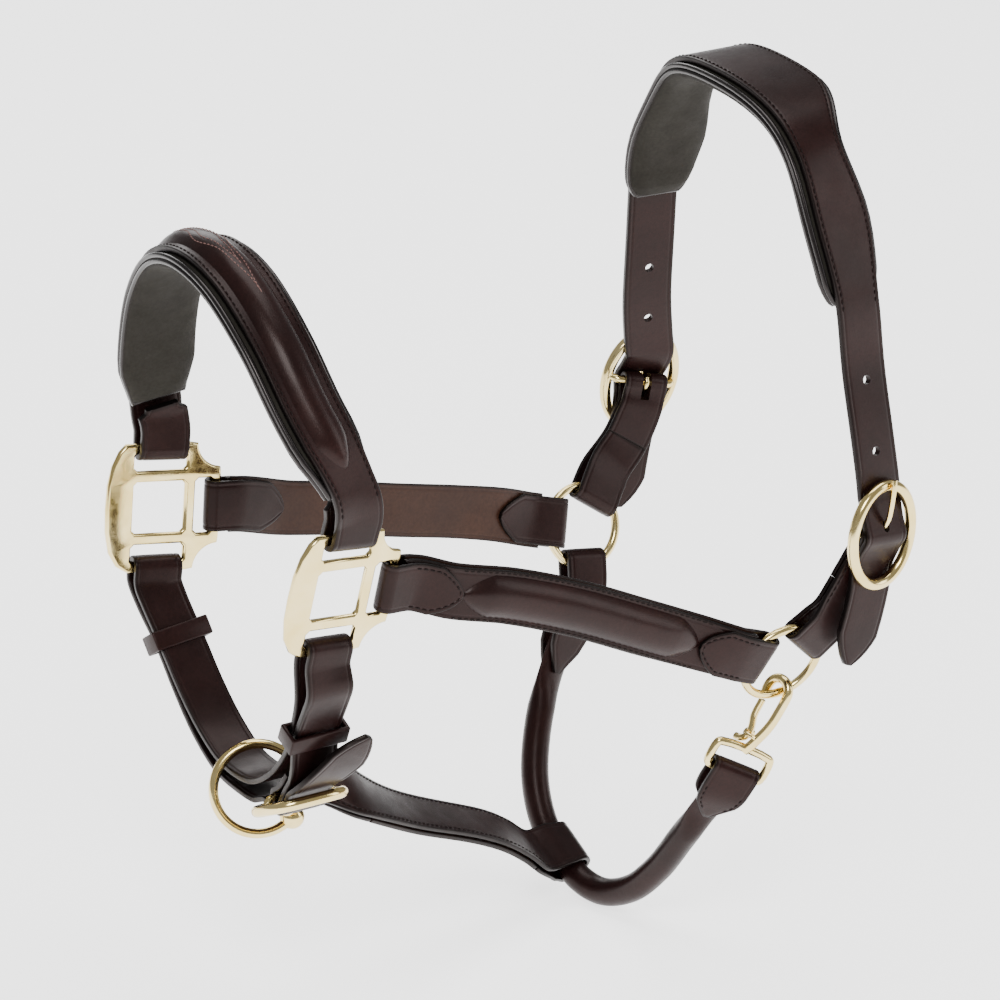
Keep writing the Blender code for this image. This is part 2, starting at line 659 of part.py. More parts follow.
knots = [s_bl0, (s_bl0 + s_sh0) / 2, s_sh0, (s_sh0 + s_nk0) / 2, s_nk0, (s_nk0 + s_top0) / 2, s_top0, s_top1, (s_top1 + s_nk1) / 2, s_nk1, (s_nk1 + s_sh1) / 2, s_sh1, (s_sh1 + s_bl1) / 2, s_bl1]
HOLES = [crown.near(near_bk(0, 5, 0)) + k for k in (36.0, 70.0)] + [crown.near(far_bk(0, 5, 0)) - k for k in (33.0, 62.0)]
stc = crown.run(0, CL, crown_half, 0.0, [1.5, 4, 8, 12, 15.2, CL - 15.2, CL - 12, CL - 8, CL - 4, CL - 1.5, *knots])
crown_ob = strap("crown_strap", stc, 3.0, leather("crown_strap"))
for k, s in enumerate(HOLES):
    p, t, w, n = crown.at(s)
    boolean(crown_ob, hidden(place(f"crown_hole_form_{k}", rod_mesh(p - n * 6, p + n * 6, 2.3, 10), crown_ob.data.materials[0])), "DIFFERENCE")
for f in near_slot + far_slot:
    boolean(crown_ob, f, "DIFFERENCE")

PD0, PD1 = s_bl0 + 4, s_bl1 - 4
cst = crown.stops(PD0, PD1, [PD0 + 2, PD0 + 7, PD0 + 14, PD1 - 14, PD1 - 7, PD1 - 2, *knots])


def crown_pad_half(s):
    a, b = crown_half(s)
    d = min(s - PD0, PD1 - s)
    k = min(max(d / 14.0, 0.0), 1.0)
    e = 0.55 + 0.45 * math.sqrt(max(0.0, 1 - (1 - k) ** 2))
    return (a + 2.6) * e, (b + 2.6) * e


st = [(crown.at(s, -1.9)[0], crown.at(s)[2], *crown_pad_half(s), crown.at(s)[3]) for s in cst]


def crown_pad_low(i, t):
    d = min(cst[i] - PD0, PD1 - cst[i])
    return -(8.6 * pad_thick(d)) * (1 - 0.35 * abs(t) ** 5)


slab(
    "crown_pad", st, crown_pad_low, lambda i, t: 0.0 if abs(t) < 0.9 else -1.6, lining("crown_pad"),
    ts=(-1.0, -0.86, -0.45, 0.45, 0.86, 1.0), bevel=0,
)


# ---------------------------------------------------------------- chapes
def chape(side, fr, ring_c, ring_n, toward, via):
    """Doubled strap from a cheek ring up round its buckle's centre bar."""
    p0, v = ring_point(ring_c, ring_n, toward, 15.4)
    p1, _ = ring_point(ring_c, ring_n, toward, 30.0)
    w0 = ring_n.cross(v)
    if w0.dot(fr.w) < 0:
        w0 = -w0
    pts = [p0, p1, fr(via * 9.5, -30.0, -11.2), fr(via * 4.2, -19.3, -9.8), fr(via * 1.0, -10.4, -8.0), fr(0, -4, -5.5), fr(0, 0, -4.6)]
    line = Line(pts, [w0, w0, w0.lerp(fr.w, 0.3), w0.lerp(fr.w, 0.75), fr.w, fr.w, fr.w], fr.n)
    S = line.length

    def spread(s):
        """Half distance between the two layers."""
        return table(s, [(0, 4.1), (9.0, 3.7), (24.0, 1.55), (S - 18.0, 1.55), (S - 10.0, 2.0), (S - 2.0, 3.3)])

    def wide(s):
        return (table(s, [(S - 20.0, 12.0), (S - 8.0, 11.5)]),) * 2

    lap = S * 0.5
    st = line.run(lap + 2.0, 0.0, LAP, lambda s: -spread(s), [9, 24])
    f = line.fold(0.0, spread(0.0), LAP, -1)[::-1]
    st += f
    st += line.run(0.0, S, wide, spread, [9, 24, S - 18, S - 10, S - 2])
    f = line.fold(S, spread(S), 11.5, 1)
    st += f
    st += line.run(S, lap + 3.6, wide, lambda s: -spread(s), [S - 2, S - 10, S - 18])
    ob = strap(f"{side}_crown_chape", st, 2.2, leather(f"{side}_crown_chape"), bevel=0.5)
    slot = hidden(place(f"{side}_chape_slot_form", box_mesh(fr, (-2.3, 2.3), (-7.5, 8.0), (-13.0, 3.0)), ob.data.materials[0], fr.c))
    boolean(ob, slot, "DIFFERENCE")
    return line


near_chape = chape("near", near_bk, NEAR_RING, NEAR_RING_N, (0.669, 0.0, 0.743), -1.0)
far_chape = chape("far", far_bk, FAR_RING, FAR_RING_N, (0.60, 0.0, 0.80), -0.6)

# ---------------------------------------------------------------- chin
chin_bk = Frame((-133.8, -42.0, -105.0), (1, 0, 0), (0, 0.9, -0.43), (0, -0.43, -0.9))
CB = 16.4
_, chin_slot = buckle("chin_buckle_frame", "chin_buckle_tongue", chin_bk, 18.8, CB, -4.6, 3.0)


def cx(y, z, dx=0.0):
    return Vector((-139.0 - 0.04 * (z + 22.0) + dx, y, z))


CT = 2.8
FR = 4.3
XW = Vector((1, 0, 0))
path = [(chin_bk(0, -15.7, -13.8), XW), (chin_bk(0, -12, -11.9), XW), (chin_bk(0, -8.0, -10.0), XW), (chin_bk(0, -4.0, -8.7), XW)]
path += [(chin_bk(0, 3.6 * math.cos(math.radians(a)), -4.6 + 3.6 * math.sin(math.radians(a))), XW) for a in (-95, -70, -40, -10, 20, 50, 80, 105)]
path += [(p, XW) for p in (chin_bk(0, -3.4, -2.6), chin_bk(0, -7, -4.9), chin_bk(0, -12, -7.9), chin_bk(0, -17, -10.6), cx(-57.2, -80.0, 1.6), cx(-60.8, -68.4, 0.8), cx(-65.2, -58.4, 0.3), cx(-73.0, -46), cx(-78.6, -35))]
path += [(near_sq(0, -35.0, FR + 0.2), near_sq.w)]
path += [(near_sq(0, -28.5 + FR * math.sin(math.radians(a)), FR * math.cos(math.radians(a))), near_sq.w) for a in (0, 30, 60, 90, 120, 150, 180)]
path += [(near_sq(0, -35, -FR - 0.2), near_sq.w)]
path += [(p, XW) for p in (cx(-67.3, -42), cx(-61.9, -56.9, 0.3), cx(-57.5, -66.9, 0.6), cx(-50.5, -76.5, 1), cx(-38, -89.5, 1), cx(-20, -100.6, 1), cx(-4, -103.4, 1), cx(12, -101.5, 1), cx(28, -92.5, 0.5), cx(43.5, -78, -0.3), cx(56.2, -61.8, -1.2), cx(61.5, -53.8, -2.2), cx(67.6, -42.6, -3.9))]
path += [(far_sq(0, -35, -FR - 0.2), far_sq.w)]
path += [(far_sq(0, -28.5 + FR * math.sin(math.radians(a)), FR * math.cos(math.radians(a))), far_sq.w) for a in (180, 150, 120, 90, 60, 30, 0)]
path += [(far_sq(0, -35, FR + 0.2), far_sq.w)]
path += [(p, XW) for p in (cx(72.0, -45.6, -3.8), cx(64.4, -55.7, -2.2), cx(59.1, -63.7, -1.2), cx(48.5, -79.5, -0.2), cx(32.5, -97.0, 0.5), cx(14, -108.3, 1), cx(-4, -111.0, 1.4), chin_bk(0, 23, -5.0), chin_bk(0, 17, -4.9), chin_bk(0, 12, -4.3), chin_bk(0, 7, -1.1), chin_bk(0, 0, 2.9), chin_bk(0, -7, -0.7), chin_bk(0, -12, -4.3), chin_bk(0, -17, -5.6), chin_bk(1.5, -24, -7.8), chin_bk(7, -33, -12.4), chin_bk(14, -42, -18.8), chin_bk(18, -46.5, -22.6))]
chin = Line([p for p, w in path], [w for p, w in path], (0, -1, 0), 13.0, 15.0)
HL = chin.length


def chin_half(s):
    if HL - s < 15:
        w = tip(HL - s, 11.7, 15.0, 1.8)
        return w, w
    return 11.7, 11.7


chin_ob = strap("chin_strap", chin.run(0, HL, chin_half, 0.0, [HL - 15, HL - 11, HL - 7, HL - 4, HL - 1.5]), CT, leather("chin_strap"))
for f in chin_slot:
    boolean(chin_ob, f, "DIFFERENCE")
boolean(chin_ob, hidden(place("chin_chape_slot_form", box_mesh(chin_bk, (-2.3, 2.3), (-7.0, 6.5), (-13.0, -0.35)), chin_ob.data.materials[0], chin_bk.c)), "DIFFERENCE")


def keeper(name, c, along, normal, gap_n):
    """Rectangular sliding loop round both layers of the chin strap."""
    fr = Frame(c, (1, 0, 0), along, normal)
    outer = place(name, box_mesh(fr, (-15.1, 15.1), (-4.6, 4.6), (-gap_n - 1.9, gap_n + 1.9)), leather(name), c)
    inner = hidden(place(f"{name}_form", box_mesh(fr, (-13.2, 13.2), (-12, 12), (-gap_n, gap_n)), outer.data.materials[0], c))
    boolean(outer, inner, "DIFFERENCE")
    b = outer.modifiers.new("edge", "BEVEL")
    b.width = 0.6 * MM
    b.segments = 1
    b.limit_method = "ANGLE"
    return outer


keeper("near_chin_keeper", cx(-61.35, -62.65, 0.4), (0, -0.403, 0.915), (0, -0.915, -0.403), 4.3)
keeper("far_chin_keeper", cx(60.3, -58.75, -1.7), (-0.09, 0.552, 0.83), (0, 0.834, -0.552), 4.3)

# ---------------------------------------------------------------- lead ring
LEAD_C = Vector((-134.6, -5.0, -112.8))
LEAD_N = Vector((-0.30, -0.90, 0.31)).normalized()
LEAD_R, LEAD_WIRE = 20.8, 2.3
torus("lead_ring", LEAD_C, LEAD_N, LEAD_R, LEAD_WIRE, brass("lead_ring"), 40)
lp = (Vector((1, 0, 0)) - LEAD_N * LEAD_N.x).normalized()
lq = LEAD_N.cross(lp)
if lq.z < 0:
    lq = -lq


def lead(angle, r=LEAD_R):
    a = math.radians(angle)
    return LEAD_C + (lp * math.cos(a) + lq * math.sin(a)) * r


ball_c = lead(-50)
bm = bmesh.new()
bmesh.ops.create_uvsphere(bm, u_segments=14, v_segments=9, radius=5.8, matrix=Matrix.Translation(ball_c))
ball = place("lead_ring_ball", bm, brass("lead_ring_ball"), LEAD_C)
arc = [lead(-50 + d) for d in range(-30, 31, 6)]
boolean(ball, hidden(place("ball_bore_form", wire_mesh(arc, LEAD_WIRE + 0.5, False, 3), ball.data.materials[0])), "DIFFERENCE")

# ---------------------------------------------------------------- throat lash
tf0, _ = ring_point(FAR_RING, FAR_RING_N, (-0.19, -0.30, -0.93), 16.1)
tf1, _ = ring_point(FAR_RING, FAR_RING_N, (-0.19, -0.30, -0.93), 30.0)
tf_w = FAR_RING_N.cross((tf1 - tf0).normalized())
tf_w = tf_w if tf_w.x > 0 else -tf_w
eye_w = Vector((0.89, -0.30, -0.35)).normalized()
SN = Vector((88.2, -76.0, -119.5))
ring_low, _ = ring_point(NEAR_RING, NEAR_RING_N, (0.10, 0.30, -0.95), RING_R)
snap_a = (ring_low - SN).normalized()
snap = Frame(SN, eye_w, snap_a, (0, -1, 0))
lash = Line(
    [
        tf0, tf1, (89.0, 76.6, -107.5), (77.5, 74.0, -127.0), (65.5, 68.5, -152.0), (55.8, 57.0, -178.0), (53.0, 43.5, -197.0), (54.3, 30.5, -206.6), (55.9, 18.0, -215.2),
        (60.0, 3.0, -218.0), (65.0, -15.0, -210.5), (69.5, -31.5, -194.0), (73.0, -47.5, -171.5), (76.0, -60.5, -153.5), snap(0, -24, -2.0), snap(0, -12.2, 0),
    ],
    [
        tf_w, tf_w, (0.93, 0.05, -0.35), (0.9, 0.1, -0.4), (0.9, 0.1, -0.4), (0.95, 0.0, -0.2), (1, 0, 0), (1, 0, 0), (1, 0, 0),
        (1, 0, 0), (1, 0, -0.1), (0.97, -0.1, -0.15), (0.95, -0.2, -0.25), (0.92, -0.27, -0.3), eye_w, eye_w,
    ],
    (0, 1, 0),
)
TL = lash.length
THROAT_W = 11.0
s_a, s_b = 0.0, TL
LEG_F, LEG_N = 58.0, 27.0


def leg_f(s):
    return (table(s, [(0, THROAT_W), (36, THROAT_W), (LEG_F, 8.6)]),) * 2


def leg_n(s):
    return (table(TL - s, [(0, 12.0), (8, 12.0), (LEG_N, 9.0)]),) * 2


st = lash.run(LEG_F, 0, leg_f, 3.95) + lash.fold(0, 3.95, THROAT_W, -1) + lash.run(0, LEG_F, leg_f, -3.95)
strap("throat_far_loop", st, 2.2, leather("throat_far_loop"), bevel=0.5)
st = lash.run(TL - LEG_N, TL, leg_n, 3.95) + lash.fold(TL, 3.95, 12.0, 1) + lash.run(TL, TL - LEG_N, leg_n, -3.95)
strap("throat_snap_loop", st, 2.2, leather("throat_snap_loop"), bevel=0.5)
r0, r1 = 34.0, TL - 11.0
rst = lash.stops(r0, r1, [r0 + 3, LEG_F + 1.5, LEG_F + 8, LEG_F + 18, TL - LEG_N - 18, TL - LEG_N - 8, TL - LEG_N - 1.5, r1 - 3])


def roll_w(s):
    return table(s, [(r0, 8.5), (LEG_F, 8.0), (LEG_F + 18, 6.8), (TL - LEG_N - 18, 6.8), (TL - LEG_N, 8.0), (r1, 8.6)])


def roll_t(s):
    return table(s, [(r0, 2.2), (LEG_F, 2.4), (LEG_F + 18, 6.8), (TL - LEG_N - 18, 6.8), (TL - LEG_N, 2.4), (r1, 2.2)])


rt = [-1.0, -0.90, -0.55, 0.0, 0.55, 0.90, 1.0]


def roll_h(i, t):
    h = roll_t(rst[i])
    return max(0.7, h * math.sqrt(max(0.0, 1 - t * t)))


slab("throat_lash", [(lash.at(s)[0], lash.at(s)[2], roll_w(s), roll_w(s), lash.at(s)[3]) for s in rst], lambda i, t: -roll_h(i, t), roll_h, leather("throat_lash"), ts=rt, bevel=0)

# ---------------------------------------------------------------- jowl strap
s_roll = lash.near((54.3, 30.5, -206.6))
roll_p, roll_dir, _, _ = lash.at(s_roll)
ja = math.radians(-5)
jp = (lp * math.cos(ja) + lq * math.sin(ja)).normalized()
jw0 = (lq * math.cos(ja) - lp * math.sin(ja)).normalized()
jw1 = -roll_dir if roll_dir.z < 0 else roll_dir
jt = Vector((0.88, 0.20, -0.42))
jt = (jt - jw1 * jt.dot(jw1)).normalized()
JS = LEAD_C + jp * 18.8
jw2 = Vector((0.0, 0.92, 0.38))
jowl = Line(
    [JS, JS + jp * 6.0, (-102.5, -14.8, -114.8), (-93.5, -14.6, -119.5), (-83.0, -11.8, -126.6), (-70.0, -6.5, -136.0), (-50.0, 0.5, -148.5), (-20.0, 8.0, -163.0), (12.0, 15.5, -180.0), roll_p - jt * 23.0, roll_p - jt * 10.0, roll_p],
    [jw0, jw0, jw0.lerp(jw2, 0.15), jw0.lerp(jw2, 0.4), jw0.lerp(jw2, 0.65), jw0.lerp(jw2, 0.9), jw2, (0, 0.96, 0.28), (0, 0.92, 0.38), jw1, jw1, jw1],
    (0, 0, 1), 6.5,
)
JL = jowl.length
ROLL_H = 6.8 + 0.7 + 1.1


def j_spread(s):
    return table(s, [(0, 3.75), (9, 3.5), (22, 1.7), (JL - 24.0, 1.7), (JL - 7.0, 6.8), (JL, ROLL_H)])


def j_half(s):
    return (table(s, [(0, 8.5), (10, 8.8), (34, 12.5), (JL - 12, 12.5), (JL, 11.5)]),) * 2


lap = 40.0
st = jowl.run(lap, 0, j_half, lambda s: -j_spread(s), [9, 22])
st += jowl.fold(0, j_spread(0), 8.5, -1)[::-1]
st += jowl.run(0, JL, j_half, j_spread, [9, 22, 34, JL - 24, JL - 14, JL - 7])
st += jowl.fold(JL, j_spread(JL), 11.5, 1, 8)
st += jowl.run(JL, JL - 30.0, j_half, lambda s: -j_spread(s), [JL - 7, JL - 14, JL - 24])
strap("jowl_strap", st, 2.2, leather("jowl_strap"), bevel=0.5)
strap("jowl_strap_lining", jowl.run(lap + 1.0, JL - 31.0, j_half, -1.7), 2.4, brown("jowl_strap_lining"), bevel=0.5)


# ---------------------------------------------------------------- snap hook
def turned(fr, deg):
    """The snap's axes with its hook's plane turned about the long axis."""
    a = math.radians(deg)
    return fr.w * math.cos(a) + fr.n * math.sin(a), fr.n * math.cos(a) - fr.w * math.sin(a)


hw, hn = turned(snap, 60.0)


def hook(x, y, z=0.0):
    return snap.c + hw * x + snap.s * y + hn * z


eye = [snap(-14.3, -1.2), snap(-13.0, 0), snap(13.0, 0), snap(14.3, -1.2), snap(14.3, -11.0), snap(13.0, -12.2), snap(-13.0, -12.2), snap(-14.3, -11.0)]
reach = (ring_low - SN).length
top = reach + RING_WIRE + 3.0 + 1.9
cyy = top - 6.3
hook_pts = smooth([hook(0, -0.4), hook(2.2, 5), hook(4.6, 12), hook(6.1, 19), hook(6.4, cyy - 2)], 2)
hook_pts += [hook(6.3 * math.cos(math.radians(a)), cyy + 6.3 * math.sin(math.radians(a))) for a in range(0, 181, 20)]
hook_pts += [hook(-6.0, cyy - 3.2), hook(-5.2, cyy - 5.4)]
body = place("snap_body", wire_mesh(eye, 1.6, True), brass("snap_body"), snap.c)
boolean(body, hidden(place("snap_hook_form", wire_mesh(hook_pts, 1.9), body.data.materials[0])), "UNION")
GX, GY = -2.6, 8.0
boolean(body, hidden(place("snap_pin_form", rod_mesh(hook(GX, GY, -1.9), hook(GX, GY, 3.4), 1.2), body.data.materials[0])), "UNION")
boolean(body, hidden(place("snap_lug_form", wire_mesh([hook(GX - 0.8, GY, 2.75), hook(0.6, GY, 2.6), hook(3.6, GY + 0.4, 1.2)], 1.05), body.data.materials[0])), "UNION")
GT = cyy - 5.4 - 0.9
gate_line = smooth([hook(-8.8, 2.6), hook(-6.2, 3.2), hook(-3.6, 5.2), hook(-2.6, 8.0), hook(-3.4, 12.0), hook(-5.0, 16.0), hook(-5.3, GT - 1.4)], 3)
gate = place("snap_gate", wire_mesh(gate_line, 1.35), brass("snap_gate"), hook(GX, GY))
boolean(gate, hidden(place("gate_boss_form", rod_mesh(hook(GX, GY, -1.35), hook(GX, GY, 1.35), 2.5, 14), gate.data.materials[0])), "UNION")
boolean(gate, hidden(place("gate_bore_form", rod_mesh(hook(GX, GY, -6), hook(GX, GY, 6), 1.5), gate.data.materials[0])), "DIFFERENCE")

# ---------------------------------------------------------------- joints
# the crown turns about the line through both cheek rings' centres
axle = bpy.data.objects.new("crown_axis", None)
axle.location = ((NEAR_RING + FAR_RING) / 2 - SEAT) * MM
bpy.context.scene.collection.objects.link(axle)
bpy.context.view_layer.update()
for name in ("crown_strap", "crown_pad", "near_crown_chape", "far_crown_chape", "near_buckle_frame", "far_buckle_frame", "near_buckle_tongue", "far_buckle_tongue"):
    ob = bpy.data.objects[name]
    ob.parent = axle
    ob.matrix_parent_inverse = axle.matrix_world.inverted()

for ob in bpy.context.scene.objects:
    if ob.type == "MESH":
        for p in ob.data.polygons:
            p.use_smooth = False
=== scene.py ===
"""Looks of the leather headcollar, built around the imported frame.

The straps follow the same centre lines as the CAD part, cut much more finely.
Control points are in millimetres in a frame near the middle of the headcollar
and are shifted to the row frame, in metres, as each piece is placed.
"""
import json
import math

import bmesh
import bpy
from mathutils import Matrix, Vector


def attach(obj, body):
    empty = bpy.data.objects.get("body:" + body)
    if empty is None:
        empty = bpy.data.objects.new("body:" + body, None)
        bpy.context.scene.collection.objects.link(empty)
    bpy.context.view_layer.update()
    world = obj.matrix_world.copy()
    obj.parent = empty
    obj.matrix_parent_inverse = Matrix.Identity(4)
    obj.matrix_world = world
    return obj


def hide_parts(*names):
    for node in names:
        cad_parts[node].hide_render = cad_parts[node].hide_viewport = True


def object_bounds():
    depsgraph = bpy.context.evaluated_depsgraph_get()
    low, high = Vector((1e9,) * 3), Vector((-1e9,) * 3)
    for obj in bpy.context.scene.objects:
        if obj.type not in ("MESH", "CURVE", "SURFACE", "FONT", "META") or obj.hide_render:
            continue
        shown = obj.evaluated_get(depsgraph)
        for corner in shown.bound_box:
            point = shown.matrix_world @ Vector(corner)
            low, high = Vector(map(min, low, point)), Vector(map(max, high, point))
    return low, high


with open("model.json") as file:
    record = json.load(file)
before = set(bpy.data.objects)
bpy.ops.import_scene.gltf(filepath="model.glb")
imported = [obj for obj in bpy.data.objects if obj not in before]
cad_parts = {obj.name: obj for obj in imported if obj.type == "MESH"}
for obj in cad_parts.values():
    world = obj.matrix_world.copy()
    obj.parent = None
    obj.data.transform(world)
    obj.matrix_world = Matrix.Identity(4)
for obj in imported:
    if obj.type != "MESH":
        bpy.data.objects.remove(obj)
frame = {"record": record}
CAD_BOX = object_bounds()

MM = 0.001
SEAT = Vector((-150.0, 4.0, 140.5))
BODY = {}
for body_name, members in frame["record"]["behaviour"]["bodies"].items():
    for member in members:
        BODY[member] = body_name
PIECES = []


# ---------------------------------------------------------------- materials
def graph(name):
    m = bpy.data.materials.new(name)
    m.use_nodes = True
    nt = m.node_tree
    b = nt.nodes["Principled BSDF"]
    tc = nt.nodes.new("ShaderNodeTexCoord")
    return m, nt, b, tc.outputs["Object"]


def noise(nt, vec, scale, detail=4.0, rough=0.55):
    n = nt.nodes.new("ShaderNodeTexNoise")
    n.inputs["Scale"].default_value = scale
    n.inputs["Detail"].default_value = detail
    n.inputs["Roughness"].default_value = rough
    nt.links.new(vec, n.inputs["Vector"])
    return n.outputs["Fac"]


def voronoi(nt, vec, scale, feature="DISTANCE_TO_EDGE"):
    n = nt.nodes.new("ShaderNodeTexVoronoi")
    n.feature = feature
    n.inputs["Scale"].default_value = scale
    nt.links.new(vec, n.inputs["Vector"])
    return n.outputs["Distance"]


def remap(nt, fac, a, b, lo, hi):
    n = nt.nodes.new("ShaderNodeMapRange")
    n.inputs["From Min"].default_value = a
    n.inputs["From Max"].default_value = b
    n.inputs["To Min"].default_value = lo
    n.inputs["To Max"].default_value = hi
    nt.links.new(fac, n.inputs["Value"])
    return n.outputs["Result"]


def math_node(nt, op, a, b):
    n = nt.nodes.new("ShaderNodeMath")
    n.operation = op
    for k, v in enumerate((a, b)):
        if isinstance(v, (int, float)):
            n.inputs[k].default_value = v
        else:
            nt.links.new(v, n.inputs[k])
    return n.outputs[0]


def blend_colour(nt, fac, a, b):
    n = nt.nodes.new("ShaderNodeMix")
    n.data_type = "RGBA"
    nt.links.new(fac, n.inputs["Factor"])
    for sock, v in ((n.inputs["A"], a), (n.inputs["B"], b)):
        pass
    sa = [s for s in n.inputs if s.name == "A" and s.type == "RGBA"][0]
    sb = [s for s in n.inputs if s.name == "B" and s.type == "RGBA"][0]
    for sock, v in ((sa, a), (sb, b)):
        if isinstance(v, tuple):
            sock.default_value = (*v, 1.0)
        else:
            nt.links.new(v, sock)
    return [s for s in n.outputs if s.type == "RGBA"][0]


def bump(nt, height, strength, distance, below=None):
    n = nt.nodes.new("ShaderNodeBump")
    n.inputs["Strength"].default_value = strength
    n.inputs["Distance"].default_value = distance
    nt.links.new(height, n.inputs["Height"])
    if below is not None:
        nt.links.new(below, n.inputs["Normal"])
    return n.outputs["Normal"]


def rim_value(nt):
    n = nt.nodes.new("ShaderNodeAttribute")
    n.attribute_name = "rim"
    return n.outputs["Fac"]


EDGE = (0.0026, 0.0021, 0.0021)


def leather_material(name, low, high, rough=(0.30, 0.44), coat=0.35, grain=0.16, pores=1150.0, edge=EDGE):
    """Bridle leather: fine pebbled grain, soft tone changes, burnished dark edges."""
    m, nt, b, vec = graph(name)
    tone = remap(nt, noise(nt, vec, 24.0, 5.0), 0.32, 0.68, 0.0, 1.0)
    base = blend_colour(nt, tone, low, high)
    specks = remap(nt, noise(nt, vec, 620.0, 2.0), 0.35, 0.75, 0.0, 0.45)
    base = blend_colour(nt, specks, base, tuple(0.55 * c for c in low))
    rim = rim_value(nt)
    worn = math_node(nt, "MULTIPLY", rim, remap(nt, noise(nt, vec, 70.0, 3.0), 0.2, 0.55, 0.72, 1.0))
    base = blend_colour(nt, worn, base, edge)
    nt.links.new(base, b.inputs["Base Color"])
    r = remap(nt, noise(nt, vec, 90.0, 4.0), 0.3, 0.7, *rough)
    nt.links.new(r, b.inputs["Roughness"])
    cells = remap(nt, voronoi(nt, vec, pores), 0.0, 0.22, 0.0, 1.0)
    fine = noise(nt, vec, 2600.0, 3.0)
    wrinkles = noise(nt, vec, 150.0, 6.0, 0.62)
    nrm = bump(nt, wrinkles, 0.20, 0.0005)
    nrm = bump(nt, cells, grain, 0.00012, nrm)
    nrm = bump(nt, fine, 0.10, 0.00008, nrm)
    nt.links.new(nrm, b.inputs["Normal"])
    b.inputs["Specular IOR Level"].default_value = 0.15
    b.inputs["Specular Tint"].default_value = (1.0, 0.74, 0.68, 1.0)
    b.inputs["Coat Weight"].default_value = coat
    b.inputs["Coat Roughness"].default_value = 0.22
    return m


def brass_material(name, low, high, rough=(0.10, 0.20)):
    """Polished cast brass with faint polishing marks and a tone that changes at random."""
    m, nt, b, vec = graph(name)
    tone = remap(nt, noise(nt, vec, 45.0, 4.0), 0.3, 0.7, 0.0, 1.0)
    nt.links.new(blend_colour(nt, tone, low, high), b.inputs["Base Color"])
    nt.links.new(remap(nt, noise(nt, vec, 240.0, 5.0), 0.3, 0.7, *rough), b.inputs["Roughness"])
    nrm = bump(nt, noise(nt, vec, 110.0, 3.0), 0.05, 0.0006)
    nrm = bump(nt, noise(nt, vec, 1700.0, 2.0), 0.04, 0.00005, nrm)
    nt.links.new(nrm, b.inputs["Normal"])
    b.inputs["Metallic"].default_value = 1.0
    return m


def thread_material(name, low, high):
    """Waxed linen thread: twisted strands and a little tone change."""
    m, nt, b, vec = graph(name)
    tone = remap(nt, noise(nt, vec, 500.0, 3.0), 0.3, 0.7, 0.0, 1.0)
    nt.links.new(blend_colour(nt, tone, low, high), b.inputs["Base Color"])
    w = nt.nodes.new("ShaderNodeTexWave")
    w.inputs["Scale"].default_value = 900.0
    w.inputs["Distortion"].default_value = 2.0
    nt.links.new(vec, w.inputs["Vector"])
    nt.links.new(bump(nt, w.outputs["Fac"], 0.3, 0.0001), b.inputs["Normal"])
    b.inputs["Roughness"].default_value = 0.62
    b.inputs["Specular IOR Level"].default_value = 0.12
    return m


HAVANA_M = leather_material("havana_leather", (0.0068, 0.0025, 0.0025), (0.0165, 0.0056, 0.0052), coat=0.08)
RAISED_M = leather_material("havana_leather_raised", (0.0078, 0.0029, 0.0028), (0.0185, 0.0064, 0.0058), rough=(0.27, 0.38), coat=0.13)
PIPING_M = leather_material("black_piping", (0.0035, 0.003, 0.003), (0.007, 0.006, 0.006), rough=(0.20, 0.30), coat=0.45, grain=0.10)
SUEDE_M = leather_material("padding_face", (0.0135, 0.0135, 0.0110), (0.0230, 0.0230, 0.0185), rough=(0.62, 0.78), coat=0.0, grain=0.22, pores=1500.0, edge=(0.012, 0.012, 0.010))
FLESH_M = leather_material("brown_lining", (0.024, 0.0095, 0.0055), (0.045, 0.0185, 0.0105), rough=(0.42, 0.56), coat=0.12, grain=0.12)
BRASS_M = brass_material("polished_brass", (0.74, 0.56, 0.21), (0.88, 0.72, 0.36))
THREAD_M = thread_material("waxed_thread", (0.0060, 0.0030, 0.0028), (0.0125, 0.0062, 0.0054))
FANCY_M = thread_material("fancy_thread", (0.16, 0.085, 0.075), (0.24, 0.135, 0.12))


def leather(node):
    if node.endswith("_raised"):
        return RAISED_M
    return HAVANA_M


def lining(node):
    return FLESH_M if node.endswith("cheek_lining") else SUEDE_M


def brown(node):
    return FLESH_M


def brass(node):
    return BRASS_M


# ---------------------------------------------------------------- geometry
def soften(vals, s, sigma, keep0, keep1):
    """Rounds off small waves along a path, leaving the ends as they are."""
    out = []
    for i, v in enumerate(vals):
        d = min(s[i] - keep0, s[-1] - keep1 - s[i])
        sg = min(sigma, d / 1.6)
        if sg <= 0.5:
            out.append(v.copy())
            continue
        total, acc = 0.0, Vector((0.0, 0.0, 0.0))
        for j in range(len(vals)):
            x = (s[j] - s[i]) / sg
            if abs(x) < 2.6:
                gap = (s[min(j + 1, len(s) - 1)] - s[max(j - 1, 0)]) / 2
                k = gap * math.exp(-x * x / 2)
                total += k
                acc += vals[j] * k
        out.append(acc / total)
    return out


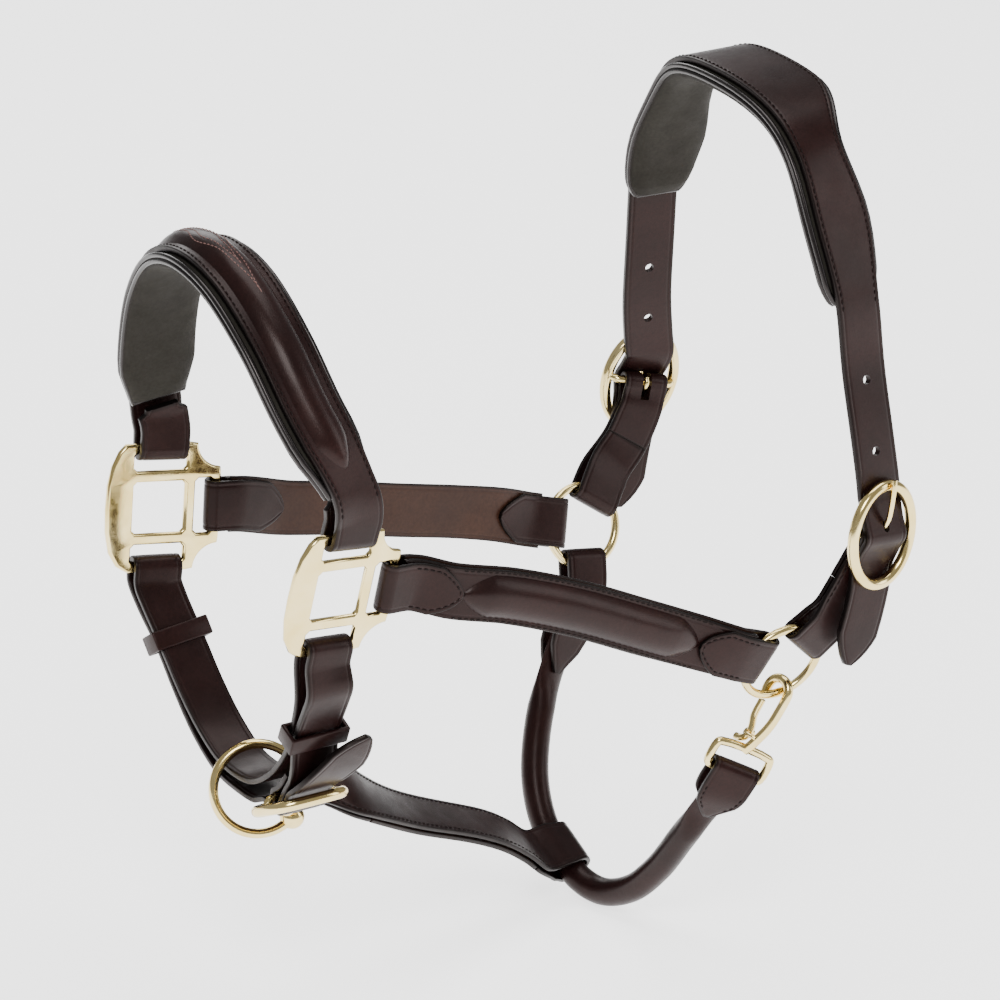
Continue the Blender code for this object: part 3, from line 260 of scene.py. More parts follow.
def centripetal(p0, p1, p2, p3, n):
    t0 = 0.0
    t1 = t0 + max((p1 - p0).length, 1e-6) ** 0.5
    t2 = t1 + max((p2 - p1).length, 1e-6) ** 0.5
    t3 = t2 + max((p3 - p2).length, 1e-6) ** 0.5
    out = []
    for k in range(n):
        t = t1 + (t2 - t1) * k / n
        a1 = p0 * ((t1 - t) / (t1 - t0)) + p1 * ((t - t0) / (t1 - t0))
        a2 = p1 * ((t2 - t) / (t2 - t1)) + p2 * ((t - t1) / (t2 - t1))
        a3 = p2 * ((t3 - t) / (t3 - t2)) + p3 * ((t - t2) / (t3 - t2))
        b1 = a1 * ((t2 - t) / (t2 - t0)) + a2 * ((t - t0) / (t2 - t0))
        b2 = a2 * ((t3 - t) / (t3 - t1)) + a3 * ((t - t1) / (t3 - t1))
        out.append(b1 * ((t2 - t) / (t2 - t1)) + b2 * ((t - t1) / (t2 - t1)))
    return out


class Line:
    """A centre line cut into straight runs, with a width direction on each cut.

    Everything laid along the line is offset from the same cuts, so layers stay
    parallel however near each other they are.
    """

    def __init__(self, pts, wid, out, turn=11.0, step=38.0, fine=True, relax=None):
        pts = [Vector(p) for p in pts]
        wid = [Vector(w).normalized() for w in wid]
        if len(wid) == 1:
            wid = wid * len(pts)
        assert len(wid) == len(pts)
        ends = [2 * pts[0] - pts[1], *pts, 2 * pts[-1] - pts[-2]]
        turn, step = (turn * 0.34, min(step, 7.5)) if fine else (turn, step)
        n = 32
        p, hints = [], []
        for i in range(len(pts) - 1):
            p += centripetal(*ends[i : i + 4], n)
            hints += [wid[i].lerp(wid[i + 1], k / n) for k in range(n)]
        p.append(pts[-1])
        hints.append(wid[-1])
        s = [0.0]
        for a, b in zip(p, p[1:]):
            s.append(s[-1] + (b - a).length)
        if relax:
            p, hints = soften(p, s, *relax), soften(hints, s, *relax)
            s = [0.0]
            for a, b in zip(p, p[1:]):
                s.append(s[-1] + (b - a).length)
        self.length = s[-1]
        tan = [(p[min(i + 1, len(p) - 1)] - p[max(i - 1, 0)]).normalized() for i in range(len(p))]
        cut = [0]
        for i in range(1, len(p) - 1):
            j = cut[-1]
            bend = math.degrees(tan[j].angle(tan[i])) + 0.6 * math.degrees(hints[j].angle(hints[i]))
            if (bend > turn or s[i] - s[j] > step) and s[i] - s[j] > 0.5 and s[-1] - s[i] > 0.8:
                cut.append(i)
        cut.append(len(p) - 1)
        self.g = [s[i] for i in cut]
        self.p = [p[i] for i in cut]
        self.w, self.n, self.t = [], [], []
        self.sign = 1.0
        for k, i in enumerate(cut):
            d0 = (self.p[k] - self.p[k - 1]).normalized() if k else None
            d1 = (self.p[k + 1] - self.p[k]).normalized() if k + 1 < len(cut) else None
            d0, d1 = d0 or d1, d1 or d0
            t = (d0 + d1).normalized()
            w = (hints[i] - t * hints[i].dot(t)).normalized()
            nn = t.cross(w)
            nn = nn / math.sqrt(max(0.2, 1 - ((d1 - d0).dot(nn) / 2) ** 2))
            self.w.append(w)
            self.n.append(nn)
            self.t.append(t)
        m = len(cut) // 2
        if self.n[m].dot(Vector(out)) < 0:
            self.sign = -1.0
            self.n = [-v for v in self.n]

    def at(self, s, h=0.0):
        c = min(max(s, 0.0), self.length)
        k = max(i for i in range(len(self.g) - 1) if self.g[i] <= c + 1e-9)
        f = (c - self.g[k]) / (self.g[k + 1] - self.g[k])
        p = (self.p[k] + self.n[k] * h).lerp(self.p[k + 1] + self.n[k + 1] * h, f)
        if f < 1e-6:
            t = self.t[k]
        elif f > 1 - 1e-6:
            t = self.t[k + 1]
        else:
            t = (self.p[k + 1] - self.p[k]).normalized()
        return p + t * (s - c), t, self.w[k].lerp(self.w[k + 1], f), self.n[k].lerp(self.n[k + 1], f)

    def near(self, point):
        v = Vector(point)
        best, where = 1e9, 0.0
        for k in range(int(self.length) + 1):
            d = (self.at(k)[0] - v).length
            if d < best:
                best, where = d, float(k)
        return where

    def stops(self, s0, s1, forced=()):
        lo, hi = min(s0, s1), max(s0, s1)
        keep = [lo, *[f for f in forced if lo + 0.5 < f < hi - 0.5], hi]
        keep += [g for g in self.g if lo + 0.8 < g < hi - 0.8 and min(abs(g - f) for f in keep) > 0.4]
        keep.sort()
        return keep if s0 <= s1 else keep[::-1]

    def run(self, s0, s1, half, h=0.0, forced=()):
        out = []
        for s in self.stops(s0, s1, forced):
            hh = h(s) if callable(h) else h
            p, t, w, n = self.at(s, hh)
            a, b = half(s) if callable(half) else (half, half)
            out.append((p, w, a, b, n if hh >= 0 else -n))
        return out

    def fold(self, s, h, half, toward, n=16):
        n = 16
        """Half circle that joins the offsets +h and -h past the end at s."""
        p, t, w, nn = self.at(s)
        nn = nn.normalized()
        out = []
        for k in range(n):
            a = math.pi * (k + 0.5) / n
            q = (nn * math.cos(a) + t * toward * math.sin(a)) / math.cos(math.pi / (2 * n))
            out.append((p + q * h, w, half, half, q))
        return out


def outward(bm):
    bm.normal_update()
    bmesh.ops.recalc_face_normals(bm, faces=bm.faces[:])
    if bm.calc_volume(signed=True) < 0:
        bmesh.ops.reverse_faces(bm, faces=bm.faces[:])


def tip(d, full, length=13.0, least=1.4):
    x = min(max(d / length, 0.0), 1.0)
    return max(least, full * (0.45 * x + 0.55 * math.sqrt(max(0.0, 1 - (1 - x) ** 2))))


TIP = (0.6, 1.2, 2.0, 3.0, 4.2, 5.6, 7.4, 9.2, 11.0, 13.0)
PAD_T = (-1.0, -0.985, -0.95, -0.9, -0.82, -0.7, -0.5, -0.25, 0.0, 0.25, 0.5, 0.7, 0.82, 0.9, 0.95, 0.985, 1.0)


def place(name, bm_or_mesh, mat, origin=None):
    """Puts mesh data given in design millimetres in the row frame, in metres."""
    if isinstance(bm_or_mesh, bmesh.types.BMesh):
        me = bpy.data.meshes.new(name)
        bm_or_mesh.to_mesh(me)
        bm_or_mesh.free()
    else:
        me = bm_or_mesh
    for v in me.vertices:
        v.co = (v.co - SEAT) * MM
    node = name in BODY
    ob = bpy.data.objects.new(name + "_look" if node else name, me)
    bpy.context.scene.collection.objects.link(ob)
    me.materials.clear()
    me.materials.append(mat)
    if node:
        PIECES.append((ob, name))
    return ob


def loft(name, low, top, rim_low, rim_top, mat, bevel):
    """A closed body between two grids of points, with each vertex's nearness to an edge."""
    n, m = len(low), len(low[0])
    o = n * m
    verts = [p for row in low for p in row] + [p for row in top for p in row]
    f = []
    for i in range(n - 1):
        for j in range(m - 1):
            a, b = i * m + j, (i + 1) * m + j
            f.append((a, a + 1, b + 1, b))
            f.append((o + a, o + b, o + b + 1, o + a + 1))
        a, b = i * m, (i + 1) * m
        f.append((a, b, o + b, o + a))
        a, b = a + m - 1, b + m - 1
        f.append((a, o + a, o + b, b))
    for j in range(m - 1):
        f.append((j, o + j, o + j + 1, j + 1))
        a = (n - 1) * m + j
        f.append((a, a + 1, o + a + 1, o + a))
    me = bpy.data.meshes.new(name)
    me.from_pydata([tuple(v) for v in verts], [], f)
    att = me.attributes.new("rim", "FLOAT", "POINT")
    att.data.foreach_set("value", [v for row in rim_low for v in row] + [v for row in rim_top for v in row])
    bm = bmesh.new()
    bm.from_mesh(me)
    outward(bm)
    bm.to_mesh(me)
    bm.free()
    ob = place(name, me, mat)
    if bevel:
        b = ob.modifiers.new("edge", "BEVEL")
        b.width = bevel * MM
        b.segments = 2
        b.limit_method = "ANGLE"
        b.angle_limit = math.radians(48)
    return ob


def slab(name, st, lo, hi, mat, ts=(-1.0, 1.0), bevel=0.6, origin=None, flip=1.0, pad=False):
    low, top, rl, rh = [], [], [], []
    for i, (p, w, a, b, nn) in enumerate(st):
        nn = nn * flip
        sides = [w * (t * (a if t < 0 else b)) for t in ts]
        low.append([p + s + nn * lo(i, t) for s, t in zip(sides, ts)])
        top.append([p + s + nn * hi(i, t) for s, t in zip(sides, ts)])
        edge = [1.0 if pad and abs(t) > 0.97 else 0.0 for t in ts]
        rl.append(edge)
        rh.append(edge)
    return loft(name, low, top, rl, rh, mat, bevel)


def profile(a, thick, crease):
    """Across half a strap: distance from the middle, drop below the face, nearness to the edge."""
    k = min(1.0, a / 5.0)
    q = min(1.0, thick / 2.6)
    rows = [(0.0, 0.34 * q, 1.0), (0.25, 0.14 * q, 1.0), (0.7, 0.03, 0.75), (1.15, 0.0, 0.25), (crease - 0.5, 0.0, 0.0), (crease, 0.22 * q if crease < 9 else 0.0, 0.35), (crease + 0.5, 0.0, 0.0), (crease + 1.3, -0.04, 0.0)]
    out = [(a - d * k, drop * k, rim) for d, drop, rim in rows]
    inner = out[-1][0]
    out += [(inner * 0.66, -0.06, 0.0), (inner * 0.33, -0.07, 0.0)]
    return out


def strap(name, st, thick, mat, bevel=0.6, origin=None, crease=2.2):
    h = thick / 2
    low, top, rims = [], [], []
    last = len(st) - 1
    for i, (p, w, a, b, nn) in enumerate(st):
        left = [(-x, d, r) for x, d, r in profile(a, thick, crease)]
        right = [(x, d, r) for x, d, r in profile(b, thick, crease)][::-1]
        row = left + [(0.0, -0.07, 0.0)] + right
        low.append([p + w * x - nn * (h - max(d, 0.0)) for x, d, r in row])
        top.append([p + w * x + nn * (h - d) for x, d, r in row])
        rims.append([1.0 if i in (0, last) else r for x, d, r in row])
    return loft(name, low, top, rims, rims, mat, 0.26 if thick > 2 else 0.18)


def skive(d):
    """Half distance of a folded end's legs, d along from the fold: thinned to lie on the strap."""
    x = min(max((d - 8.0) / 10.0, 0.0), 1.0)
    return RIG - 0.72 * x * x * (3 - 2 * x)


def raised(name, line, s0, s1, half, base, height, mat, forced=(), sink=0.4):
    """Leather drawn over a rounded filler: its foot lies in the strap's face."""
    def width(s):
        d = min(s - s0, s1 - s)
        return (half * tip(d, 1.0, 14.0, 0.18),) * 2

    ss = line.stops(s0, s1, [*(s0 + k for k in TIP), *(s1 - k for k in TIP), *forced])
    st = []
    for s in ss:
        p, t, w, n = line.at(s, base)
        st.append((p, w, *width(s), n))

    def top(i, t):
        d = min(ss[i] - s0, s1 - ss[i])
        k = tip(d, 1.0, 16.0, 0.05)
        return -sink + (height + sink) * k * (1 - abs(t) ** 2.3)

    ts = [math.sin(math.radians(a)) for a in range(-90, 91, 9)]
    return slab(name, st, lambda i, t: -sink - 0.7, top, mat, ts=ts, bevel=0)


def refine(pts, cyclic, n=4):
    pts = [Vector(p) for p in pts]
    if cyclic:
        ends = [pts[-1], *pts, pts[0], pts[1]]
        count = len(pts)
    else:
        ends = [2 * pts[0] - pts[1], *pts, 2 * pts[-1] - pts[-2]]
        count = len(pts) - 1
    out = []
    for i in range(count):
        out += centripetal(*ends[i : i + 4], n)
    if not cyclic:
        out.append(pts[-1])
    return out


def wire_mesh(pts, radius, cyclic=False, res=1, cap=True, fine=True, radii=None):
    """A round wire along points, as mesh data in design millimetres."""
    if fine and len(pts) < 60:
        k = 4
        if radii:
            radii = [radii[min(int(i / k), len(radii) - 1)] + (radii[min(int(i / k) + 1, len(radii) - 1)] - radii[min(int(i / k), len(radii) - 1)]) * ((i % k) / k) for i in range((len(pts) - 1) * k + 1)]
        pts = refine(pts, cyclic, k)
    if fine:
        res = max(res, 5)
    cu = bpy.data.curves.new("wire", "CURVE")
    cu.dimensions = "3D"
    sp = cu.splines.new("POLY")
    sp.points.add(len(pts) - 1)
    for i, (q, p) in enumerate(zip(sp.points, pts)):
        q.co = (*Vector(p), 1.0)
        if radii:
            q.radius = radii[i]
    sp.use_cyclic_u = cyclic
    cu.bevel_depth = radius
    cu.bevel_resolution = res
    cu.use_fill_caps = cap and not cyclic
    ob = bpy.data.objects.new("wire", cu)
    bpy.context.scene.collection.objects.link(ob)
    bpy.context.view_layer.update()
    me = bpy.data.meshes.new_from_object(ob.evaluated_get(bpy.context.evaluated_depsgraph_get()))
    bpy.data.objects.remove(ob, do_unlink=True)
    bm = bmesh.new()
    bm.from_mesh(me)
    bmesh.ops.remove_doubles(bm, verts=bm.verts[:], dist=0.0001)
    outward(bm)
    bm.to_mesh(me)
    bm.free()
    return me


CUTTERS = []


def hidden(ob):
    CUTTERS.append(ob)
    return ob


def boolean(ob, other, how):
    m = ob.modifiers.new(how.lower(), "BOOLEAN")
    m.operation = how
    m.solver = "EXACT"
    m.object = other
    return m


class Frame:
    """Local axes at a fitting: w across the strap, s along it, n outward."""

    def __init__(self, c, w, s, n):
        self.c = Vector(c)
        self.s = Vector(s).normalized()
        w = Vector(w)
        self.w = (w - self.s * w.dot(self.s)).normalized()
        self.n = self.w.cross(self.s)
        if self.n.dot(Vector(n)) < 0:
            self.n = -self.n

    def __call__(self, w, s, n=0.0):
        return self.c + self.w * w + self.s * s + self.n * n

    def matrix(self):
        z = self.w.cross(self.s)
        return Matrix((self.w, self.s, z)).transposed().to_4x4()


def box_mesh(fr, w, s, n):
    """A box w0..w1, s0..s1, n0..n1 in a local frame."""
    bm = bmesh.new()
    bmesh.ops.create_cube(bm, size=1.0)
    for v in bm.verts:
        c = v.co + Vector((0.5, 0.5, 0.5))
        v.co = fr(w[0] + (w[1] - w[0]) * c.x, s[0] + (s[1] - s[0]) * c.y, n[0] + (n[1] - n[0]) * c.z)
    outward(bm)
    me = bpy.data.meshes.new("box")
    bm.to_mesh(me)
    bm.free()
    return me


def rod_mesh(a, b, r, seg=12):
    a, b = Vector(a), Vector(b)
    bm = bmesh.new()
    q = (b - a).to_track_quat("Z", "Y").to_matrix().to_4x4()
    bmesh.ops.create_cone(
        bm, cap_ends=True, segments=seg, radius1=r, radius2=r, depth=(b - a).length,
        matrix=Matrix.Translation((a + b) / 2) @ q,
    )
    outward(bm)
    me = bpy.data.meshes.new("rod")
    bm.to_mesh(me)
    bm.free()
    return me


def torus(name, c, n, major, minor, mat, seg=36, sides=8):
    c, n = Vector(c), Vector(n).normalized()
    q = n.to_track_quat("Z", "Y")
    pts = [c + q @ Vector((major * math.cos(2 * math.pi * k / 96), major * math.sin(2 * math.pi * k / 96), 0.0)) for k in range(96)]
    return place(name, wire_mesh(pts, minor, True, 6), mat)


def smooth(pts, n=4, cyclic=False):
    pts = [Vector(p) for p in pts]
    ends = [2 * pts[0] - pts[1], *pts, 2 * pts[-1] - pts[-2]]
    out = []
    for i in range(len(pts) - 1):
        out += centripetal(*ends[i : i + 4], n)
    out.append(pts[-1])
    return out


# ---------------------------------------------------------------- sizes
STRAP = 12.5          # half of a 25 mm strap
LAP = 12.0            # half width of a folded end
RING_R, RING_WIRE = 19.6, 2.1
RIG = 4.2             # half distance between the two legs of a folded end

NEAR_RING = Vector((100.0, -87.5, -72.7))
FAR_RING = Vector((102.0, 87.5, -65.4))
NEAR_RING_N = Vector((-0.05, -0.95, -0.31)).normalized()
FAR_RING_N = Vector((-0.05, 0.95, -0.31)).normalized()

near_sq = Frame((-134.2, -78.5, 11.2), (0.985, 0.08, -0.15), (0.13, -0.17, 0.975), (0, -1, 0))
far_sq = Frame((-138.1, 78.5, -0.8), (0.98, -0.13, -0.15), (0.13, 0.09, 0.985), (0, 1, 0))


# ---------------------------------------------------------------- squares
def square(name, fr):
    """Halter square: three slotted sides and a broad curved plate in front."""
    def arc(cx, cy, r, a0, a1, n):
        return [(cx + r * math.cos(math.radians(a0 + (a1 - a0) * k / n)), cy + r * math.sin(math.radians(a0 + (a1 - a0) * k / n))) for k in range(n + 1)]

    outer = []
    outer += [(-17.5, 30.6), (14.6, 30.6), (18.4, 30.0)]
    outer += arc(30.6, 30.6, 12.2, 186, 264, 16)
    outer += [(30.2, 18.2), (30.6, 14.6), (30.6, -14.6), (30.2, -18.2)]
    outer += arc(30.6, -30.6, 12.2, 96, 174, 16)
    outer += [(18.4, -30.0), (14.6, -30.6), (-14.5, -30.8), (-20.0, -27.6), (-24.0, -21.0), (-26.0, -11.0), (-26.4, 0.0), (-26.0, 11.0), (-24.2, 20.0), (-21.0, 27.0)]

    def rect(x0, y0, x1, y1, c=1.6):
        return [(x0 + c, y0), (x1 - c, y0), (x1, y0 + c), (x1, y1 - c), (x1 - c, y1), (x0 + c, y1), (x0, y1 - c), (x0, y0 + c)]

    holes = [rect(-13.0, -12.3, 12.8, 12.3), rect(-13.2, 17.6, 13.2, 26.4), rect(-13.2, -26.4, 13.2, -17.6), rect(17.8, -13.2, 26.4, 13.2)]
    cu = bpy.data.curves.new(name, "CURVE")
    cu.dimensions = "2D"
    cu.fill_mode = "BOTH"
    for ring in [outer, *holes]:
        sp = cu.splines.new("POLY")
        sp.points.add(len(ring) - 1)
        for q, (x, y) in zip(sp.points, ring):
            q.co = (x, y, 0.0, 1.0)
        sp.use_cyclic_u = True
    cu.extrude = 0.35
    cu.bevel_depth = 1.35
    cu.bevel_resolution = 5
    cu.offset = -1.35
    ob = bpy.data.objects.new(name, cu)
    bpy.context.scene.collection.objects.link(ob)
    bpy.context.view_layer.update()
    me = bpy.data.meshes.new_from_object(ob.evaluated_get(bpy.context.evaluated_depsgraph_get()))
    bpy.data.objects.remove(ob, do_unlink=True)
    bm = bmesh.new()
    bm.from_mesh(me)
    bmesh.ops.remove_doubles(bm, verts=bm.verts[:], dist=0.0001)
    for v in bm.verts:
        v.co = fr(v.co.x, v.co.y, v.co.z)
    outward(bm)
    bm.to_mesh(me)
    bm.free()
    return place(name, me, brass(name), fr.c)


square("near_square", near_sq)
square("far_square", far_sq)
torus("near_ring", NEAR_RING, NEAR_RING_N, RING_R, RING_WIRE, brass("near_ring"))
torus("far_ring", FAR_RING, FAR_RING_N, RING_R, RING_WIRE, brass("far_ring"))


# ---------------------------------------------------------------- cheeks
def ring_point(c, n, toward, d):
    """A point in a ring's plane, d from its centre in a given direction."""
    v = Vector(toward)
    v = (v - n * v.dot(n)).normalized()
    return c + v * d, v


def cheek(side, line, fit0, fit1):
    """Base strap, padded lining, raised strip and two folded pointed ends.

    fit0 and fit1 are the distances along the line of the fold's centres.
    """
    s0, s1 = fit0, fit1
    base0, base1 = s0 + 5.4, s1 - 9.5
    up = 0.95
    strap(f"{side}_cheek_strap", line.run(base0, base1, STRAP, up), 2.8, leather(f"{side}_cheek_strap"))
    strap(f"{side}_cheek_lining", line.run(base0 + 1.0, base1 - 1.0, 13.4, up - 2.6), 1.4, lining(f"{side}_cheek_lining"), bevel=0.5)
    l_out, l_in = 36.0, 38.0
    for tag, s, toward, sgn in (("square", s0, -1, 1), ("ring", s1, 1, -1)):
        def half(q, s=s, sgn=sgn, length=l_out):
            d = length - abs(q - s)
            return (tip(d, LAP),) * 2

        def half_in(q, s=s, sgn=sgn, length=l_in):
            d = length - abs(q - s)
            return (tip(d, LAP),) * 2

        e_out, e_in = s + sgn * l_out, s + sgn * l_in
        st = line.run(e_out, s, half, lambda q, s=s: skive(abs(q - s)), [e_out - sgn * k for k in TIP])
        st += line.fold(s, RIG, LAP, toward)
        st += line.run(s, e_in, half_in, lambda q, s=s: -skive(abs(q - s)), [e_in - sgn * k for k in TIP])
        strap(f"{side}_cheek_{tag}_loop", st, 2.2, leather(f"{side}_cheek_{tag}_loop"), bevel=0.5)
    raised(f"{side}_cheek_raised", line, s0 + l_out + 0.8, s1 - l_out - 0.8, 10.2, up + 2.3, 4.0, leather(f"{side}_cheek_raised"), sink=1.05)


nc_end, nc_v = ring_point(NEAR_RING, NEAR_RING_N, (-0.915, 0.0, 0.40), 15.4)
nc_w = NEAR_RING_N.cross(nc_v)
nc_w = nc_w if nc_w.z > 0 else -nc_w
near_cheek = Line(
    [near_sq(28.5, 0, 0), near_sq(40, 0, 0.2), (-76, -80.5, -0.5), (-45, -82.0, -9.5), (-10, -84.0, -23.0), (25, -85.8, -39.5), (50, -86.6, -51.4), NEAR_RING + nc_v * 31.0, nc_end],
    [near_sq.s, near_sq.s, (0.1, -0.05, 0.98), (0.2, 0, 0.97), (0.3, 0, 0.95), (0.4, 0, 0.92), (0.42, -0.1, 0.9), nc_w, nc_w],
    (0, -1, 0), 7.0,
)
cheek("near", near_cheek, 0.0, near_cheek.length)
fc_end, fc_v = ring_point(FAR_RING, FAR_RING_N, (-0.951, 0.0, 0.309), 15.4)
fc_w = FAR_RING_N.cross(fc_v)
fc_w = fc_w if fc_w.z > 0 else -fc_w
far_cheek = Line(
    [far_sq(28.5, 0, 0), far_sq(40, 0, 0.2), (-72, 79.0, -15.0), (-40, 81.8, -23.0), (-5, 84.2, -32.5), (30, 86.0, -41.5), (52, 86.6, -48.0), FAR_RING + fc_v * 31.0, fc_end],
    [far_sq.s, far_sq.s, (0.2, 0.03, 0.98), (0.25, 0, 0.97), (0.25, 0, 0.97), (0.27, 0, 0.96), (0.28, 0.1, 0.95), fc_w, fc_w],
    (0, 1, 0), 7.0,
)
cheek("far", far_cheek, 0.0, far_cheek.length)

# ---------------------------------------------------------------- noseband
nose = Line(
    [
        near_sq(0, 28.5, 0), near_sq(0, 38.0, 0), (-131.2, -86.2, 58.5), (-135.4, -82.4, 72.0), (-142.0, -67.6, 95.0), (-146.5, -48.0, 121.0),
        (-149.0, -20.0, 141.5), (-150.0, 6.0, 147.0), (-149.0, 30.0, 140.0), (-145.5, 53.0, 118.0), (-141.5, 69.0, 88.0),
        (-136.6, 79.6, 58.0), (-134.0, 82.6, 45.5), far_sq(0, 37.5, 0), far_sq(0, 28.5, 0),
    ],
    [
        near_sq.w, near_sq.w, (0.975, 0.16, -0.05), (0.97, 0.20, 0.02), (0.97, 0.19, 0.02), (0.98, 0.15, 0.0),
        (0.99, 0.08, 0.0), (1, 0.0, 0.0), (1, -0.02, 0.0), (0.99, -0.02, -0.02), (0.99, -0.03, -0.06),
        (0.985, -0.06, -0.1), (0.98, -0.11, -0.13), far_sq.w, far_sq.w,
    ],
    (0, 0, 1),
)
L = nose.length


def nose_half(s):
    d = min(s, L - s)
    k = min(max((d - 26.0) / 22.0, 0.0), 1.0)
    return (11.8 + 0.7 * min(d / 14.0, 1.0) + 2.3 * k,) * 2


NRIG = 4.4
IN_LEG = 24.0
st = nose.run(IN_LEG, 0.0, lambda s: (tip(IN_LEG - s, LAP, 5.0, 8.0),) * 2, -NRIG, [IN_LEG - 5.0])
st += nose.fold(0.0, NRIG, 11.8, -1)[::-1]
st += nose.run(0.0, L, lambda s: (nose_half(s)[0],) * 2, NRIG, [14, 26, 48, L - 48, L - 26, L - 14])
st += nose.fold(L, NRIG, 11.8, 1)
st += nose.run(L, L - IN_LEG, lambda s: (tip(IN_LEG - (L - s), LAP, 5.0, 8.0),) * 2, -NRIG, [L - IN_LEG + 5.0])
strap("noseband_strap", st, 3.0, leather("noseband_strap"))
raised("noseband_raised", nose, 34.0, L - 34.0, 9.6, NRIG + 1.8, 4.8, leather("noseband_raised"), sink=0.5)

NP0, NP1 = 26.0, L - 26.0
nst = nose.stops(NP0, NP1, [NP0 + 3, NP0 + 10, NP0 + 24, NP1 - 24, NP1 - 10, NP1 - 3])


def pad_half(s):
    d = min(s - NP0, NP1 - s)
    k = min(max(d / 24.0, 0.0), 1.0)
    return 13.4 + 4.6 * (k * k * (3 - 2 * k))


def pad_thick(d):
    k = min(max(d / 12.0, 0.0), 1.0)
    return 0.4 + 0.6 * math.sqrt(max(0.0, 1 - (1 - k) ** 2))


# padding fills from the strap's inner face inward, with rounded edges
st = [(nose.at(s, NRIG - 1.5 - 0.35)[0], nose.at(s)[2], pad_half(s), pad_half(s), nose.at(s)[3]) for s in nst]


def nose_pad_low(i, t):
    k = pad_thick(min(nst[i] - NP0, NP1 - nst[i]))
    return -(8.2 * k) * (1 - 0.35 * abs(t) ** 5)


slab(
    "noseband_pad", st, nose_pad_low, lambda i, t: -0.0 if abs(t) < 0.9 else -1.6, lining("noseband_pad"),
    ts=PAD_T, bevel=0, pad=True,
)


# ---------------------------------------------------------------- buckles
def buckle(name, tongue, fr, half_w, half_s, bar_n=-4.6, power=2.0):
    """Oval frame with a set-back centre bar, and its tongue on the bar."""
    oval = []
    for k in range(96):
        c, q = math.cos(2 * math.pi * k / 96), math.sin(2 * math.pi * k / 96)
        c = math.copysign(abs(c) ** (2 / power), c)
        q = math.copysign(abs(q) ** (2 / power), q)
        oval.append(fr(half_w * c, half_s * q))
    ob = place(name, wire_mesh(oval, 2.75, True, 2), brass(name), fr.c)
    bar = wire_mesh([fr(-half_w, 0, 0.2), fr(-half_w + 1.6, 0, -1.6), fr(-13.4, 0, bar_n), fr(13.4, 0, bar_n), fr(half_w - 1.6, 0, -1.6), fr(half_w, 0, 0.2)], 1.9)
    b = hidden(place(f"{name}_bar_form", bar, ob.data.materials[0], fr.c))
    boolean(ob, b, "UNION")
    r = 3.5
    pts = [fr(0, r * math.cos(math.radians(a)), bar_n + r * math.sin(math.radians(a))) for a in (-38, -75, -112, -150, -188, -225, -258)]
    pts += smooth([fr(0, 1.6, bar_n + 4.3), fr(0, 5.0, 1.4), fr(0, 9.0, 3.2), fr(0, half_s - 3.0, 4.3), fr(0, half_s + 1.0, 4.3), fr(0, half_s + 3.4, 3.9)], 2)
    pivot = fr(0, 0, bar_n)
    place(tongue, wire_mesh(pts, 1.3), brass(tongue), pivot)
    # the opening the tongue needs through the strap while it lifts
    sweep = []
    for k, deg in enumerate((0.0, 6.0, 12.0)):
        q = Matrix.Rotation(math.radians(deg) * lift_sign(fr), 3, fr.w)
        zone = [pivot + q @ (p - pivot) for p in smooth([fr(0, -3.4, bar_n + 2.2), fr(0, -1.9, bar_n + 3.5), fr(0, 1.6, bar_n + 4.3), fr(0, 5.0, 1.4), fr(0, 9.0, 3.2), fr(0, half_s - 1.5, 4.3)], 2)]
        sweep.append(hidden(place(f"{name}_slot_form_{k}", wire_mesh(zone, 1.8 - 0.05 * k), ob.data.materials[0], fr.c)))
    return ob, sweep


def lift_sign(fr):
    """Sign of a turn about w that lifts +s toward +n."""
    return 1.0 if fr.w.cross(fr.s).dot(fr.n) > 0 else -1.0


near_bk = Frame((142.6, -106.0, -11.7), (0.99, 0.137, -0.1), (0.13, 0.03, 0.99), (0, -1, 0))
far_bk = Frame((147.0, 106.0, -3.2), (0.97, -0.12, -0.26), (0.24, -0.08, 0.965), (0, 1, 0))
HS = 24.1
_, near_slot = buckle("near_buckle_frame", "near_buckle_tongue", near_bk, 18.1, HS)
_, far_slot = buckle("far_buckle_frame", "far_buckle_tongue", far_bk, 18.1, HS)

# ---------------------------------------------------------------- crown
# front edge of the crown strap, near side to far side, then shifted to mid strap
WN, WT, WF = Vector((0.99, 0.137, -0.05)), Vector((1.0, 0.0, 0.0)), Vector((0.985, -0.14, -0.10))
front = [
    ((128.2, -90.8, 73.0), WN), ((126.6, -90.0, 98.0), WN), ((125.0, -83.5, 118.5), WN), ((123.9, -73.5, 141.0), WN),
    ((122.7, -63.0, 162.0), Vector((0.995, 0.09, -0.02))), ((121.9, -46.5, 178.0), WT), ((121.4, -22.0, 185.8), WT), ((121.2, 4.0, 187.8), WT), ((121.4, 29.0, 187.0), WT),
    ((121.8, 46.0, 181.5), WT), ((122.6, 59.0, 164.0), Vector((0.99, -0.09, -0.05))), ((124.0, 72.0, 144.0), WF), ((125.2, 81.5, 124.0), WF),
    ((126.4, 85.5, 102.0), WF), ((128.4, 90.5, 72.0), WF), ((129.9, 95.0, 44.5), WF),
]
mid = [(Vector(p) + w.normalized() * STRAP, w) for p, w in front]
near_in = [near_bk(-8.0, -64, -5.2), near_bk(-3.0, -45, -4.7), near_bk(0, -27, -4.7), near_bk(0, -17, -4.5), near_bk(0, -8, -1.2), near_bk(0, -0.5, 2.4), near_bk(0, 8, -1.3), near_bk(0, 17, -4.6), near_bk(-2.2, 27, -5.2), near_bk(-6.5, 50, -8.5)]
